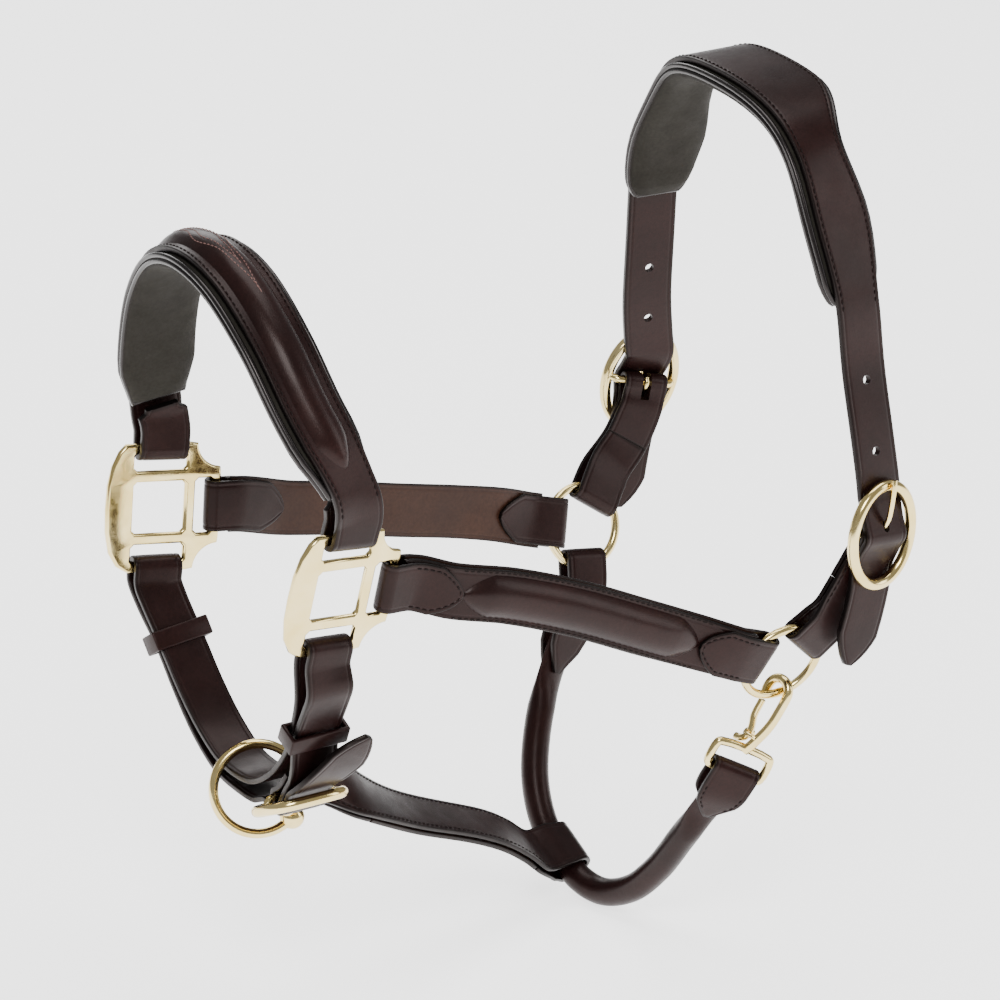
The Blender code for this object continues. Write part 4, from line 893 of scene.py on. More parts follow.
far_in = [far_bk(-8.0, 30, -7.0), far_bk(-1.0, 17, -4.9), far_bk(0, 8, -1.3), far_bk(0, -0.5, 2.4), far_bk(0, -8, -1.2), far_bk(0, -17, -4.5), far_bk(0, -27, -4.7), far_bk(1.5, -45, -4.7), far_bk(4.0, -66, -5.2)]
crown = Line(
    near_in + [p for p, w in mid] + far_in,
    [near_bk.w] * 9 + [Vector((0.99, 0.137, -0.09))] + [w for p, w in mid] + [Vector((0.975, -0.13, -0.2))] + [far_bk.w] * 8,
    (0, 0, 1), relax=(11.0, 92.0, 78.0),
)
CL = crown.length
# places along the crown: both shoulders, both necks and the poll
s_sh0, s_sh1 = crown.near(mid[3][0]) - 6, crown.near(mid[11][0]) + 8
s_nk0, s_nk1 = crown.near(mid[4][0]) + 4, crown.near(mid[10][0]) - 2
s_top0, s_top1 = crown.near(mid[6][0]), crown.near(mid[8][0])
s_bl0, s_bl1 = crown.near(mid[1][0]) - 2, crown.near(mid[13][0]) + 2


def ease(x):
    x = min(max(x, 0.0), 1.0)
    return x * x * (3 - 2 * x)


def table(s, rows):
    if s <= rows[0][0]:
        return rows[0][1]
    for (a, va), (b, vb) in zip(rows, rows[1:]):
        if s <= b:
            return va + (vb - va) * ease((s - a) / (b - a))
    return rows[-1][1]


def crown_half(s):
    d = min(s, CL - s)
    w = tip(d, STRAP, 15.0, 1.8)
    front_half = table(s, [(s_bl0, 12.5), (s_sh0, 13.6), (s_nk0, 12.6), (s_top0, 13.2), (s_top1, 13.2), (s_nk1, 12.6), (s_sh1, 13.8), (s_bl1, 12.5)])
    rear = table(s, [(s_bl0, 12.5), (s_sh0, 17.4), (s_nk0, 13.0), (s_top0, 25.0), (s_top1, 25.0), (s_nk1, 13.0), (s_sh1, 17.4), (s_bl1, 12.5)])
    if d < 15.0:
        return w, w
    return front_half, rear


knots = [s_bl0, (s_bl0 + s_sh0) / 2, s_sh0, (s_sh0 + s_nk0) / 2, s_nk0, (s_nk0 + s_top0) / 2, s_top0, s_top1, (s_top1 + s_nk1) / 2, s_nk1, (s_nk1 + s_sh1) / 2, s_sh1, (s_sh1 + s_bl1) / 2, s_bl1]
HOLES = [crown.near(near_bk(0, 5, 0)) + k for k in (36.0, 70.0)] + [crown.near(far_bk(0, 5, 0)) - k for k in (33.0, 62.0)]
stc = crown.run(0, CL, crown_half, 0.0, [1.5, 4, 8, 12, 15.2, CL - 15.2, CL - 12, CL - 8, CL - 4, CL - 1.5, *knots])
crown_ob = strap("crown_strap", stc, 3.0, leather("crown_strap"))
for k, s in enumerate(HOLES):
    p, t, w, n = crown.at(s)
    boolean(crown_ob, hidden(place(f"crown_hole_form_{k}", rod_mesh(p - n * 6, p + n * 6, 2.3, 10), crown_ob.data.materials[0])), "DIFFERENCE")
for f in near_slot + far_slot:
    boolean(crown_ob, f, "DIFFERENCE")

PD0, PD1 = s_bl0 + 4, s_bl1 - 4
cst = crown.stops(PD0, PD1, [PD0 + 2, PD0 + 7, PD0 + 14, PD1 - 14, PD1 - 7, PD1 - 2, *knots])


def crown_pad_half(s):
    a, b = crown_half(s)
    d = min(s - PD0, PD1 - s)
    k = min(max(d / 14.0, 0.0), 1.0)
    e = 0.55 + 0.45 * math.sqrt(max(0.0, 1 - (1 - k) ** 2))
    return (a + 2.6) * e, (b + 2.6) * e


st = [(crown.at(s, -1.9)[0], crown.at(s)[2], *crown_pad_half(s), crown.at(s)[3]) for s in cst]


def crown_pad_low(i, t):
    d = min(cst[i] - PD0, PD1 - cst[i])
    return -(8.6 * pad_thick(d)) * (1 - 0.35 * abs(t) ** 5)


slab(
    "crown_pad", st, crown_pad_low, lambda i, t: 0.0 if abs(t) < 0.9 else -1.6, lining("crown_pad"),
    ts=PAD_T, bevel=0, pad=True,
)


# ---------------------------------------------------------------- chapes
def chape(side, fr, ring_c, ring_n, toward, via):
    """Doubled strap from a cheek ring up round its buckle's centre bar."""
    p0, v = ring_point(ring_c, ring_n, toward, 15.4)
    p1, _ = ring_point(ring_c, ring_n, toward, 30.0)
    w0 = ring_n.cross(v)
    if w0.dot(fr.w) < 0:
        w0 = -w0
    pts = [p0, p1, fr(via * 9.5, -30.0, -11.2), fr(via * 4.2, -19.3, -9.8), fr(via * 1.0, -10.4, -8.0), fr(0, -4, -5.5), fr(0, 0, -4.6)]
    line = Line(pts, [w0, w0, w0.lerp(fr.w, 0.3), w0.lerp(fr.w, 0.75), fr.w, fr.w, fr.w], fr.n)
    S = line.length

    def spread(s):
        """Half distance between the two layers."""
        return table(s, [(0, 4.1), (9.0, 3.7), (24.0, 1.55), (S - 18.0, 1.55), (S - 10.0, 2.0), (S - 2.0, 3.3)])

    def wide(s):
        return (table(s, [(S - 20.0, 12.0), (S - 8.0, 11.5)]),) * 2

    lap = S * 0.5
    st = line.run(lap + 2.0, 0.0, LAP, lambda s: -spread(s), [9, 24])
    f = line.fold(0.0, spread(0.0), LAP, -1)[::-1]
    st += f
    st += line.run(0.0, S, wide, spread, [9, 24, S - 18, S - 10, S - 2])
    f = line.fold(S, spread(S), 11.5, 1)
    st += f
    st += line.run(S, lap + 2.1, wide, lambda s: -spread(s), [S - 2, S - 10, S - 18])
    ob = strap(f"{side}_crown_chape", st, 2.2, leather(f"{side}_crown_chape"), bevel=0.5)
    slot = hidden(place(f"{side}_chape_slot_form", box_mesh(fr, (-2.3, 2.3), (-7.5, 8.0), (-13.0, 3.0)), ob.data.materials[0], fr.c))
    boolean(ob, slot, "DIFFERENCE")
    return line


near_chape = chape("near", near_bk, NEAR_RING, NEAR_RING_N, (0.669, 0.0, 0.743), -1.0)
far_chape = chape("far", far_bk, FAR_RING, FAR_RING_N, (0.60, 0.0, 0.80), -0.6)

# ---------------------------------------------------------------- chin
chin_bk = Frame((-133.8, -42.0, -105.0), (1, 0, 0), (0, 0.9, -0.43), (0, -0.43, -0.9))
CB = 16.4
_, chin_slot = buckle("chin_buckle_frame", "chin_buckle_tongue", chin_bk, 18.8, CB, -4.6, 3.0)


def cx(y, z, dx=0.0):
    return Vector((-139.0 - 0.04 * (z + 22.0) + dx, y, z))


CT = 2.8
FR = 4.3
XW = Vector((1, 0, 0))
path = [(chin_bk(0, -15.7, -13.8), XW), (chin_bk(0, -12, -11.9), XW), (chin_bk(0, -8.0, -10.0), XW), (chin_bk(0, -4.0, -8.7), XW)]
path += [(chin_bk(0, 3.6 * math.cos(math.radians(a)), -4.6 + 3.6 * math.sin(math.radians(a))), XW) for a in (-95, -70, -40, -10, 20, 50, 80, 105)]
path += [(p, XW) for p in (chin_bk(0, -3.4, -2.6), chin_bk(0, -7, -4.9), chin_bk(0, -12, -7.9), chin_bk(0, -17, -10.6), cx(-57.2, -80.0, 1.6), cx(-60.8, -68.4, 0.8), cx(-65.2, -58.4, 0.3), cx(-73.0, -46), cx(-78.6, -35))]
path += [(near_sq(0, -35.0, FR + 0.2), near_sq.w)]
path += [(near_sq(0, -28.5 + FR * math.sin(math.radians(a)), FR * math.cos(math.radians(a))), near_sq.w) for a in (0, 30, 60, 90, 120, 150, 180)]
path += [(near_sq(0, -35, -FR - 0.2), near_sq.w)]
path += [(p, XW) for p in (cx(-67.3, -42), cx(-61.9, -56.9, 0.3), cx(-57.5, -66.9, 0.6), cx(-50.5, -76.5, 1), cx(-38, -89.5, 1), cx(-20, -100.6, 1), cx(-4, -103.4, 1), cx(12, -101.5, 1), cx(28, -92.5, 0.5), cx(43.5, -78, -0.3), cx(56.2, -61.8, -1.2), cx(61.5, -53.8, -2.2), cx(67.6, -42.6, -3.9))]
path += [(far_sq(0, -35, -FR - 0.2), far_sq.w)]
path += [(far_sq(0, -28.5 + FR * math.sin(math.radians(a)), FR * math.cos(math.radians(a))), far_sq.w) for a in (180, 150, 120, 90, 60, 30, 0)]
path += [(far_sq(0, -35, FR + 0.2), far_sq.w)]
path += [(p, XW) for p in (cx(72.0, -45.6, -3.8), cx(64.4, -55.7, -2.2), cx(59.1, -63.7, -1.2), cx(48.5, -79.5, -0.2), cx(32.5, -97.0, 0.5), cx(14, -108.3, 1), cx(-4, -111.0, 1.4), chin_bk(0, 23, -5.0), chin_bk(0, 17, -4.9), chin_bk(0, 12, -4.3), chin_bk(0, 7, -1.1), chin_bk(0, 0, 2.9), chin_bk(0, -7, -0.7), chin_bk(0, -12, -4.3), chin_bk(0, -17, -5.6), chin_bk(1.5, -24, -7.8), chin_bk(7, -33, -12.4), chin_bk(14, -42, -18.8), chin_bk(18, -46.5, -22.6))]
chin = Line([p for p, w in path], [w for p, w in path], (0, -1, 0), 13.0, 15.0)
HL = chin.length


def chin_half(s):
    if HL - s < 15:
        w = tip(HL - s, 11.7, 15.0, 1.8)
        return w, w
    return 11.7, 11.7


chin_ob = strap("chin_strap", chin.run(0, HL, chin_half, 0.0, [HL - 15, HL - 11, HL - 7, HL - 4, HL - 1.5]), CT, leather("chin_strap"))
for f in chin_slot:
    boolean(chin_ob, f, "DIFFERENCE")
boolean(chin_ob, hidden(place("chin_chape_slot_form", box_mesh(chin_bk, (-2.3, 2.3), (-7.0, 6.5), (-13.0, -0.35)), chin_ob.data.materials[0], chin_bk.c)), "DIFFERENCE")


def keeper(name, c, along, normal, gap_n):
    """Rectangular sliding loop round both layers of the chin strap."""
    fr = Frame(c, (1, 0, 0), along, normal)
    outer = place(name, box_mesh(fr, (-15.1, 15.1), (-4.6, 4.6), (-gap_n - 1.9, gap_n + 1.9)), leather(name), c)
    inner = hidden(place(f"{name}_form", box_mesh(fr, (-13.2, 13.2), (-12, 12), (-gap_n, gap_n)), outer.data.materials[0], c))
    boolean(outer, inner, "DIFFERENCE")
    b = outer.modifiers.new("edge", "BEVEL")
    b.width = 0.8 * MM
    b.segments = 3
    b.limit_method = "ANGLE"
    return outer


keeper("near_chin_keeper", cx(-61.35, -62.65, 0.4), (0, -0.403, 0.915), (0, -0.915, -0.403), 4.3)
keeper("far_chin_keeper", cx(60.3, -58.75, -1.7), (-0.09, 0.552, 0.83), (0, 0.834, -0.552), 4.3)

# ---------------------------------------------------------------- lead ring
LEAD_C = Vector((-134.6, -5.0, -112.8))
LEAD_N = Vector((-0.30, -0.90, 0.31)).normalized()
LEAD_R, LEAD_WIRE = 20.8, 2.3
torus("lead_ring", LEAD_C, LEAD_N, LEAD_R, LEAD_WIRE, brass("lead_ring"), 40)
lp = (Vector((1, 0, 0)) - LEAD_N * LEAD_N.x).normalized()
lq = LEAD_N.cross(lp)
if lq.z < 0:
    lq = -lq


def lead(angle, r=LEAD_R):
    a = math.radians(angle)
    return LEAD_C + (lp * math.cos(a) + lq * math.sin(a)) * r


ball_c = lead(-50)
bm = bmesh.new()
bmesh.ops.create_uvsphere(bm, u_segments=40, v_segments=24, radius=5.8, matrix=Matrix.Translation(ball_c))
ball = place("lead_ring_ball", bm, brass("lead_ring_ball"), LEAD_C)
arc = [lead(-50 + d) for d in range(-30, 31, 6)]
boolean(ball, hidden(place("ball_bore_form", wire_mesh(arc, LEAD_WIRE + 0.5, False, 3), ball.data.materials[0])), "DIFFERENCE")

# ---------------------------------------------------------------- throat lash
tf0, _ = ring_point(FAR_RING, FAR_RING_N, (-0.19, -0.30, -0.93), 16.1)
tf1, _ = ring_point(FAR_RING, FAR_RING_N, (-0.19, -0.30, -0.93), 30.0)
tf_w = FAR_RING_N.cross((tf1 - tf0).normalized())
tf_w = tf_w if tf_w.x > 0 else -tf_w
eye_w = Vector((0.89, -0.30, -0.35)).normalized()
SN = Vector((88.2, -76.0, -119.5))
ring_low, _ = ring_point(NEAR_RING, NEAR_RING_N, (0.10, 0.30, -0.95), RING_R)
snap_a = (ring_low - SN).normalized()
snap = Frame(SN, eye_w, snap_a, (0, -1, 0))
lash = Line(
    [
        tf0, tf1, (89.0, 76.6, -107.5), (77.5, 74.0, -127.0), (65.5, 68.5, -152.0), (55.8, 57.0, -178.0), (53.0, 43.5, -197.0), (54.3, 30.5, -206.6), (55.9, 18.0, -215.2),
        (60.0, 3.0, -218.0), (65.0, -15.0, -210.5), (69.5, -31.5, -194.0), (73.0, -47.5, -171.5), (76.0, -60.5, -153.5), snap(0, -24, -2.0), snap(0, -12.2, 0),
    ],
    [
        tf_w, tf_w, (0.93, 0.05, -0.35), (0.9, 0.1, -0.4), (0.9, 0.1, -0.4), (0.95, 0.0, -0.2), (1, 0, 0), (1, 0, 0), (1, 0, 0),
        (1, 0, 0), (1, 0, -0.1), (0.97, -0.1, -0.15), (0.95, -0.2, -0.25), (0.92, -0.27, -0.3), eye_w, eye_w,
    ],
    (0, 1, 0),
)
TL = lash.length
THROAT_W = 11.0
s_a, s_b = 0.0, TL
LEG_F, LEG_N = 58.0, 27.0


def leg_f(s):
    return (tip(LEG_F - s, table(s, [(0, THROAT_W), (36, THROAT_W), (LEG_F, 8.6)]), 15.0, 1.8),) * 2


def leg_n(s):
    return (tip(s - (TL - LEG_N), table(TL - s, [(0, 12.0), (8, 12.0), (LEG_N, 9.0)]), 11.0, 1.8),) * 2


st = lash.run(LEG_F, 0, leg_f, 3.95) + lash.fold(0, 3.95, THROAT_W, -1) + lash.run(0, LEG_F, leg_f, -3.95)
strap("throat_far_loop", st, 2.2, leather("throat_far_loop"), bevel=0.5)
st = lash.run(TL - LEG_N, TL, leg_n, 3.95) + lash.fold(TL, 3.95, 12.0, 1) + lash.run(TL, TL - LEG_N, leg_n, -3.95)
strap("throat_snap_loop", st, 2.2, leather("throat_snap_loop"), bevel=0.5)
r0, r1 = 34.0, TL - 11.0
rst = lash.stops(r0, r1, [r0 + 3, LEG_F + 1.5, LEG_F + 8, LEG_F + 18, TL - LEG_N - 18, TL - LEG_N - 8, TL - LEG_N - 1.5, r1 - 3])


def roll_w(s):
    return table(s, [(r0, 8.5), (LEG_F, 8.0), (LEG_F + 18, 6.8), (TL - LEG_N - 18, 6.8), (TL - LEG_N, 8.0), (r1, 8.6)])


def roll_t(s):
    return table(s, [(r0, 2.2), (LEG_F, 2.4), (LEG_F + 18, 6.8), (TL - LEG_N - 18, 6.8), (TL - LEG_N, 2.4), (r1, 2.2)])


rt = [math.sin(math.radians(a)) for a in range(-90, 91, 10)]


def roll_h(i, t):
    h = roll_t(rst[i])
    return max(0.3, h * math.sqrt(max(0.0, 1 - t * t)))


slab("throat_lash", [(lash.at(s)[0], lash.at(s)[2], roll_w(s), roll_w(s), lash.at(s)[3]) for s in rst], lambda i, t: -roll_h(i, t), roll_h, leather("throat_lash"), ts=rt, bevel=0)

# ---------------------------------------------------------------- jowl strap
s_roll = lash.near((54.3, 30.5, -206.6))
roll_p, roll_dir, _, _ = lash.at(s_roll)
ja = math.radians(-5)
jp = (lp * math.cos(ja) + lq * math.sin(ja)).normalized()
jw0 = (lq * math.cos(ja) - lp * math.sin(ja)).normalized()
jw1 = -roll_dir if roll_dir.z < 0 else roll_dir
jt = Vector((0.88, 0.20, -0.42))
jt = (jt - jw1 * jt.dot(jw1)).normalized()
JS = LEAD_C + jp * 18.8
jw2 = Vector((0.0, 0.92, 0.38))
jowl = Line(
    [JS, JS + jp * 6.0, (-102.5, -14.8, -114.8), (-93.5, -14.6, -119.5), (-83.0, -11.8, -126.6), (-70.0, -6.5, -136.0), (-50.0, 0.5, -148.5), (-20.0, 8.0, -163.0), (12.0, 15.5, -180.0), roll_p - jt * 23.0, roll_p - jt * 10.0, roll_p],
    [jw0, jw0, jw0.lerp(jw2, 0.15), jw0.lerp(jw2, 0.4), jw0.lerp(jw2, 0.65), jw0.lerp(jw2, 0.9), jw2, (0, 0.96, 0.28), (0, 0.92, 0.38), jw1, jw1, jw1],
    (0, 0, 1), 6.5, relax=(12.0, 30.0, 26.0),
)
JL = jowl.length
ROLL_H = 6.8 + 0.7 + 1.1


def j_spread(s):
    return table(s, [(0, 3.75), (9, 3.5), (22, 1.7), (JL - 24.0, 1.7), (JL - 7.0, 6.8), (JL, ROLL_H)])


def j_half(s):
    return (table(s, [(0, 8.5), (10, 8.8), (34, 12.5), (JL - 12, 12.5), (JL, 11.5)]),) * 2


lap = 40.0
st = jowl.run(lap, 0, j_half, lambda s: -j_spread(s), [9, 22])
st += jowl.fold(0, j_spread(0), 8.5, -1)[::-1]
st += jowl.run(0, JL, j_half, j_spread, [9, 22, 34, JL - 24, JL - 14, JL - 7])
st += jowl.fold(JL, j_spread(JL), 11.5, 1, 8)
st += jowl.run(JL, JL - 30.0, j_half, lambda s: -j_spread(s), [JL - 7, JL - 14, JL - 24])
strap("jowl_strap", st, 2.2, leather("jowl_strap"), bevel=0.5)
strap("jowl_strap_lining", jowl.run(lap + 1.0, JL - 31.0, j_half, -1.7), 2.4, brown("jowl_strap_lining"), bevel=0.5)


# ---------------------------------------------------------------- snap hook
def turned(fr, deg):
    """The snap's axes with its hook's plane turned about the long axis."""
    a = math.radians(deg)
    return fr.w * math.cos(a) + fr.n * math.sin(a), fr.n * math.cos(a) - fr.w * math.sin(a)


hw, hn = turned(snap, 60.0)


def hook(x, y, z=0.0):
    return snap.c + hw * x + snap.s * y + hn * z


eye = [snap(-14.3, -1.2), snap(-13.0, 0), snap(13.0, 0), snap(14.3, -1.2), snap(14.3, -11.0), snap(13.0, -12.2), snap(-13.0, -12.2), snap(-14.3, -11.0)]
reach = (ring_low - SN).length
top = reach + RING_WIRE + 3.0 + 1.9
cyy = top - 6.3
hook_pts = smooth([hook(0, -0.4), hook(2.2, 5), hook(4.6, 12), hook(6.1, 19), hook(6.4, cyy - 2)], 2)
hook_pts += [hook(6.3 * math.cos(math.radians(a)), cyy + 6.3 * math.sin(math.radians(a))) for a in range(0, 181, 20)]
hook_pts += [hook(-6.0, cyy - 3.2), hook(-5.2, cyy - 5.4)]
body = place("snap_body", wire_mesh(eye, 2.1, True), brass("snap_body"), snap.c)
boolean(body, hidden(place("snap_hook_form", wire_mesh(hook_pts, 2.35), body.data.materials[0])), "UNION")
GX, GY = -2.6, 8.0
boolean(body, hidden(place("snap_pin_form", rod_mesh(hook(GX, GY, -1.9), hook(GX, GY, 3.4), 1.2), body.data.materials[0])), "UNION")
boolean(body, hidden(place("snap_lug_form", wire_mesh([hook(GX - 0.8, GY, 2.75), hook(0.6, GY, 2.6), hook(3.6, GY + 0.4, 1.2)], 1.05), body.data.materials[0])), "UNION")
GT = cyy - 5.4 - 0.9
gate_line = smooth([hook(-8.8, 2.6), hook(-6.2, 3.2), hook(-3.6, 5.2), hook(-2.6, 8.0), hook(-3.4, 12.0), hook(-5.0, 16.0), hook(-5.3, GT - 1.4)], 3)
gate = place("snap_gate", wire_mesh(gate_line, 1.75), brass("snap_gate"), hook(GX, GY))
boolean(gate, hidden(place("gate_boss_form", rod_mesh(hook(GX, GY, -1.35), hook(GX, GY, 1.35), 2.5, 14), gate.data.materials[0])), "UNION")
boolean(gate, hidden(place("gate_bore_form", rod_mesh(hook(GX, GY, -6), hook(GX, GY, 6), 1.5), gate.data.materials[0])), "DIFFERENCE")

# ---------------------------------------------------------------- piping and stitching
EXTRA = []


def extra(name, me, mat, node):
    """A piece with no CAD node of its own, such as thread, that moves with a node's body."""
    ob = place(name, me, mat)
    EXTRA.append((ob, node))
    return ob


def piping(name, line, s0, s1, half, height, radius, node):
    """A round bead along both edges and the ends of a padded strap."""
    ss = line.stops(s0, s1, [s0 + 1, s0 + 2.5, s0 + 5, s0 + 9, s1 - 9, s1 - 5, s1 - 2.5, s1 - 1])
    loop = []
    for sign in (-1, 1):
        side = []
        for s in ss:
            a, b = half(s)
            p, t, w, n = line.at(s, height)
            side.append(p + w * (sign * (a if sign < 0 else b)))
        loop += side if sign < 0 else side[::-1]
    me = wire_mesh(loop, radius, True, 5, fine=False)
    ob = extra(name, me, PIPING_M, node)
    return ob


def stitches(name, points, node, mat=None, pitch=3.3, length=2.45, r=0.36):
    """Separate raised stitches along a run of (point, outward) pairs."""
    runs = [points] if points and isinstance(points[0], tuple) else points
    bm = bmesh.new()
    for run in runs:
        s = [0.0]
        for (a, _), (b, _) in zip(run, run[1:]):
            s.append(s[-1] + (b - a).length)

        def at(x):
            k = max(0, min(len(s) - 2, next((i for i in range(len(s) - 1) if s[i + 1] >= x), len(s) - 2)))
            f = (x - s[k]) / max(1e-9, s[k + 1] - s[k])
            return run[k][0].lerp(run[k + 1][0], f), run[k][1].lerp(run[k + 1][1], f).normalized()

        count = int(s[-1] / pitch)
        if count < 1:
            continue
        start = (s[-1] - count * pitch) / 2
        for k in range(count):
            a, b = start + k * pitch + (pitch - length) / 2, start + k * pitch + (pitch + length) / 2
            rings = []
            for f, rr, sink in ((0.0, 0.35, -0.28), (0.12, 0.85, -0.04), (0.5, 1.0, 0.12), (0.88, 0.85, -0.04), (1.0, 0.35, -0.28)):
                p, n = at(a + (b - a) * f)
                q0, _ = at(max(0.0, a + (b - a) * f - 0.3))
                q1, _ = at(min(s[-1], a + (b - a) * f + 0.3))
                t = (q1 - q0).normalized()
                w = t.cross(n).normalized()
                rings.append([bm.verts.new(p + n * (sink + r * rr * math.sin(x)) + w * (r * rr * math.cos(x))) for x in (2 * math.pi * j / 6 for j in range(6))])
            for u, v in zip(rings, rings[1:]):
                for j in range(6):
                    bm.faces.new((u[j], u[(j + 1) % 6], v[(j + 1) % 6], v[j]))
            bm.faces.new(rings[0][::-1])
            bm.faces.new(rings[-1])
    outward(bm)
    return extra(name, bm, mat or THREAD_M, node)


def row(line, s0, s1, off, h, step=1.6):
    """Points along a line at a side distance and height that may change along it."""
    n = max(2, int(abs(s1 - s0) / step))
    out = []
    for k in range(n + 1):
        s = s0 + (s1 - s0) * k / n
        hh = h(s) if callable(h) else h
        o = off(s) if callable(off) else off
        p, t, w, nn = line.at(s, hh)
        out.append((p + w * o, nn.normalized() * (1 if hh >= 0 else -1)))
    return out


for side, line in (("near", near_cheek), ("far", far_cheek)):
    E = line.length
    a, b = 33.0, E - 33.0
    stitches(f"{side}_cheek_thread", [row(line, a, b, 11.35, 0.95 + 1.4), row(line, a, b, -11.35, 0.95 + 1.4)], f"{side}_cheek_strap")
    for tag, s, sgn in (("square", 0.0, 1), ("ring", E, -1)):
        def inset(q, s=s):
            return max(0.0, tip(36.0 - abs(q - s), LAP) - 2.3)

        lo, hi = s + sgn * 8.0, s + sgn * 34.2
        outline = row(line, lo, hi, inset, lambda q, s=s: skive(abs(q - s)) + 1.1, 1.0)
        back = row(line, hi, lo, lambda q: -inset(q), lambda q, s=s: skive(abs(q - s)) + 1.1, 1.0)
        stitches(f"{side}_cheek_{tag}_thread", outline + back, f"{side}_cheek_{tag}_loop")

stitches("noseband_thread", [row(nose, 16.0, L - 16.0, lambda s: sg * (nose_half(s)[0] - 2.3), NRIG + 1.5) for sg in (-1, 1)], "noseband_strap")
stitches("crown_thread", [row(crown, s_bl0, s_bl1, lambda s: -(crown_half(s)[0] - 2.4), 1.5), row(crown, s_bl0, s_bl1, lambda s: crown_half(s)[1] - 2.4, 1.5)], "crown_strap")
for side, line in (("near", near_chape), ("far", far_chape)):
    S = line.length
    hh = lambda s, S=S: table(s, [(0, 4.1), (9.0, 3.7), (24.0, 1.55), (S - 18.0, 1.55), (S - 10.0, 2.0), (S - 2.0, 3.3)]) + 1.1
    stitches(f"{side}_chape_thread", [row(line, 20.0, S - 16.0, sg * 9.8, hh) for sg in (-1, 1)], f"{side}_crown_chape")
stitches("jowl_thread", [row(jowl, 16.0, JL - 26.0, lambda s: sg * (j_half(s)[0] - 2.2), lambda s: j_spread(s) + 1.1) for sg in (-1, 1)], "jowl_strap")
stitches("throat_far_thread", [row(lash, 14.0, LEG_F - 5.0, lambda s: sg * max(0.6, leg_f(s)[0] - 2.2), 3.95 + 1.1) for sg in (-1, 1)], "throat_far_loop")
stitches("throat_snap_thread", [row(lash, TL - LEG_N + 5.0, TL - 8.0, lambda s: sg * max(0.6, leg_n(s)[0] - 2.2), 3.95 + 1.1) for sg in (-1, 1)], "throat_snap_loop")

for k, h in enumerate((-0.6, -3.3)):
    piping(f"noseband_piping_{k}", nose, NP0 + 1.0, NP1 - 1.0, lambda s: ((pad_half(s) - 0.5) * (0.9 + 0.1 * pad_thick(min(s - NP0, NP1 - s))),) * 2, NRIG - 1.85 + h, 1.35, "noseband_pad")
    piping(f"crown_piping_{k}", crown, PD0 + 1.0, PD1 - 1.0, lambda s: tuple(x - 0.3 for x in crown_pad_half(s)), -1.9 + h, 1.35, "crown_pad")

# a scrolled diamond of lighter thread over the middle of the noseband
top_s = nose.near((-150.0, 4.0, 147.0))
runs = []
for sg in (-1, 1):
    for half_len, wide in ((40.0, 6.4), (24.0, 3.4)):
        pts = []
        for k in range(81):
            x = -1 + 2 * k / 80
            s = top_s + half_len * x
            o = sg * wide * (0.5 + 0.5 * math.cos(math.pi * x)) * (0.82 + 0.18 * math.cos(3 * math.pi * x))
            t = min(1.0, abs(o) / 9.6)
            p, tt, w, n = nose.at(s, NRIG + 1.8 + -0.5 + 5.3 * (1 - t ** 2.3))
            pts.append((p + w * o, n.normalized()))
        runs.append(pts)
stitches("noseband_fancy_thread", runs, "noseband_raised", FANCY_M, 2.3, 1.75, 0.27)

# ---------------------------------------------------------------- finishing each piece
def settle(ob):
    """Applies a piece's modifiers and smooths its shading."""
    bpy.context.view_layer.update()
    if ob.modifiers:
        me = bpy.data.meshes.new_from_object(ob.evaluated_get(bpy.context.evaluated_depsgraph_get()), preserve_all_data_layers=True, depsgraph=bpy.context.evaluated_depsgraph_get())
        ob.modifiers.clear()
        ob.data = me
    me = ob.data
    keep = me.materials[0]
    me.materials.clear()
    me.materials.append(keep)
    me.polygons.foreach_set("material_index", [0] * len(me.polygons))
    me.polygons.foreach_set("use_smooth", [True] * len(me.polygons))
    me.set_sharp_from_angle(angle=math.radians(58))
    me.update()


for ob, node in PIECES:
    settle(ob)
for ob, node in EXTRA:
    settle(ob)
for ob in CUTTERS:
    me = ob.data
    bpy.data.objects.remove(ob, do_unlink=True)
    if me.users == 0:
        bpy.data.meshes.remove(me)
for ob, node in PIECES:
    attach(ob, BODY[node])
    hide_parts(node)
for ob, node in EXTRA:
    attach(ob, BODY[node])

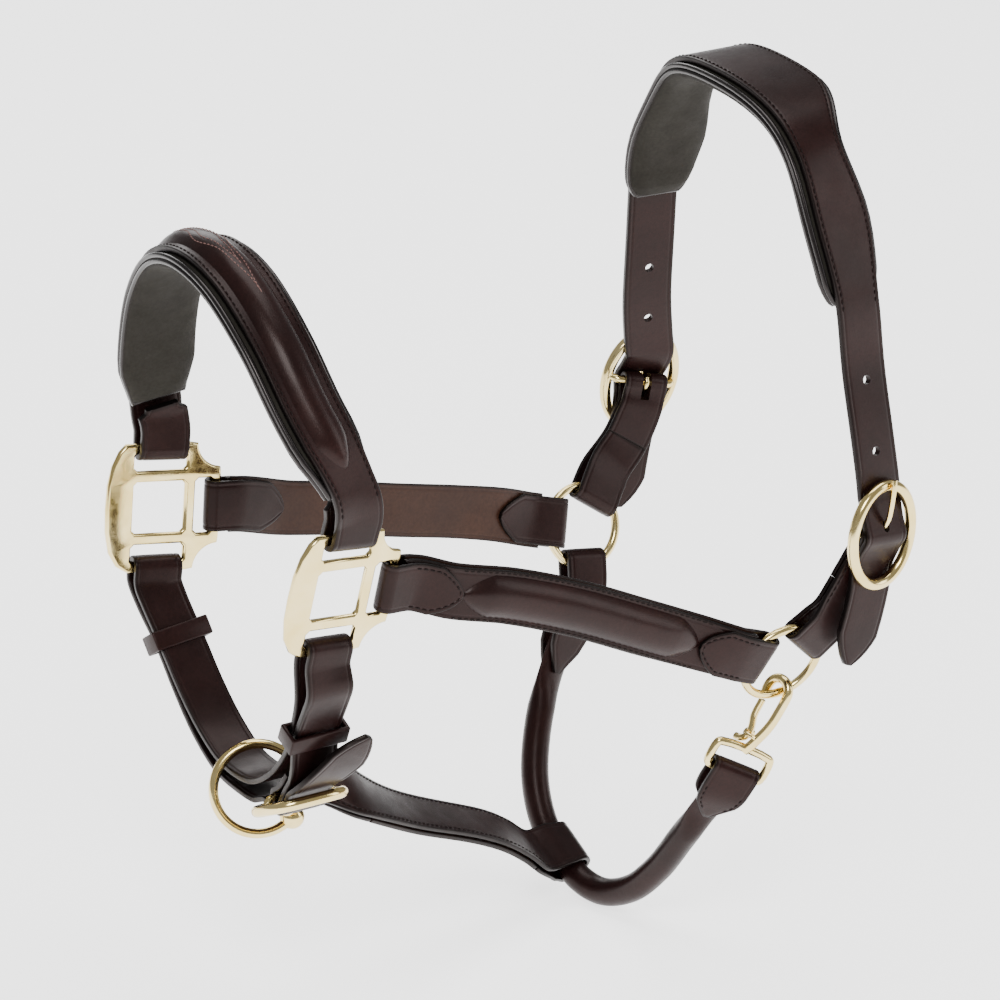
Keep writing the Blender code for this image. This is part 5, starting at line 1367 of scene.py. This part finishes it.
# ---------------------------------------------------------------- stage
low_z = min(v[2] for v in (CAD_BOX[0],)) - 0.001
me = bpy.data.meshes.new("floor")
bm = bmesh.new()
bmesh.ops.create_grid(bm, x_segments=8, y_segments=8, size=9.0)
for v in bm.verts:
    v.co.z = low_z
bm.to_mesh(me)
bm.free()
floor = bpy.data.objects.new("floor", me)
bpy.context.scene.collection.objects.link(floor)
m, nt, b, vec = graph("pale_floor")
nt.links.new(blend_colour(nt, noise(nt, vec, 3.0, 2.0), (0.90, 0.90, 0.90), (0.93, 0.93, 0.93)), b.inputs["Base Color"])
b.inputs["Roughness"].default_value = 0.9
b.inputs["Specular IOR Level"].default_value = 0.1
b.inputs["Emission Color"].default_value = (1.0, 1.0, 1.0, 1.0)
b.inputs["Emission Strength"].default_value = 2.0
me.materials.append(m)

world = bpy.data.worlds.new("studio")
bpy.context.scene.world = world
world.use_nodes = True
bg = world.node_tree.nodes["Background"]
bg.inputs["Color"].default_value = (1.0, 1.0, 1.0, 1.0)
bg.inputs["Strength"].default_value = 0.36

aim = Vector((0.150, -0.004, -0.1405))


def area(name, where, size, power, size_y=None):
    li = bpy.data.lights.new(name, "AREA")
    li.energy = power
    li.shape = "RECTANGLE"
    li.size = size
    li.size_y = size_y or size
    ob = bpy.data.objects.new(name, li)
    ob.location = aim + Vector(where)
    ob.rotation_euler = (-Vector(where)).to_track_quat("-Z", "Y").to_euler()
    bpy.context.scene.collection.objects.link(ob)


area("key", (-0.9, -1.3, 1.5), 0.8, 26.0)
area("top", (0.3, 0.2, 1.8), 1.3, 24.0)
area("side", (1.5, -1.2, 0.7), 0.7, 10.0, 1.2)
area("back", (0.6, 1.8, 1.0), 1.0, 12.0)

cam_data = bpy.data.cameras.new("camera")
cam_data.lens = 216.7
cam_data.sensor_width = 36.0
cam_data.clip_end = 100.0
cam = bpy.data.objects.new("camera", cam_data)
az, el = math.radians(-32.0), math.radians(22.0)
away = Vector((math.sin(az) * math.cos(el), -math.cos(az) * math.cos(el), math.sin(el)))
cam.location = aim + away * 2.8
cam.rotation_euler = (-away).to_track_quat("-Z", "Y").to_euler()
bpy.context.scene.collection.objects.link(cam)
bpy.context.scene.camera = cam
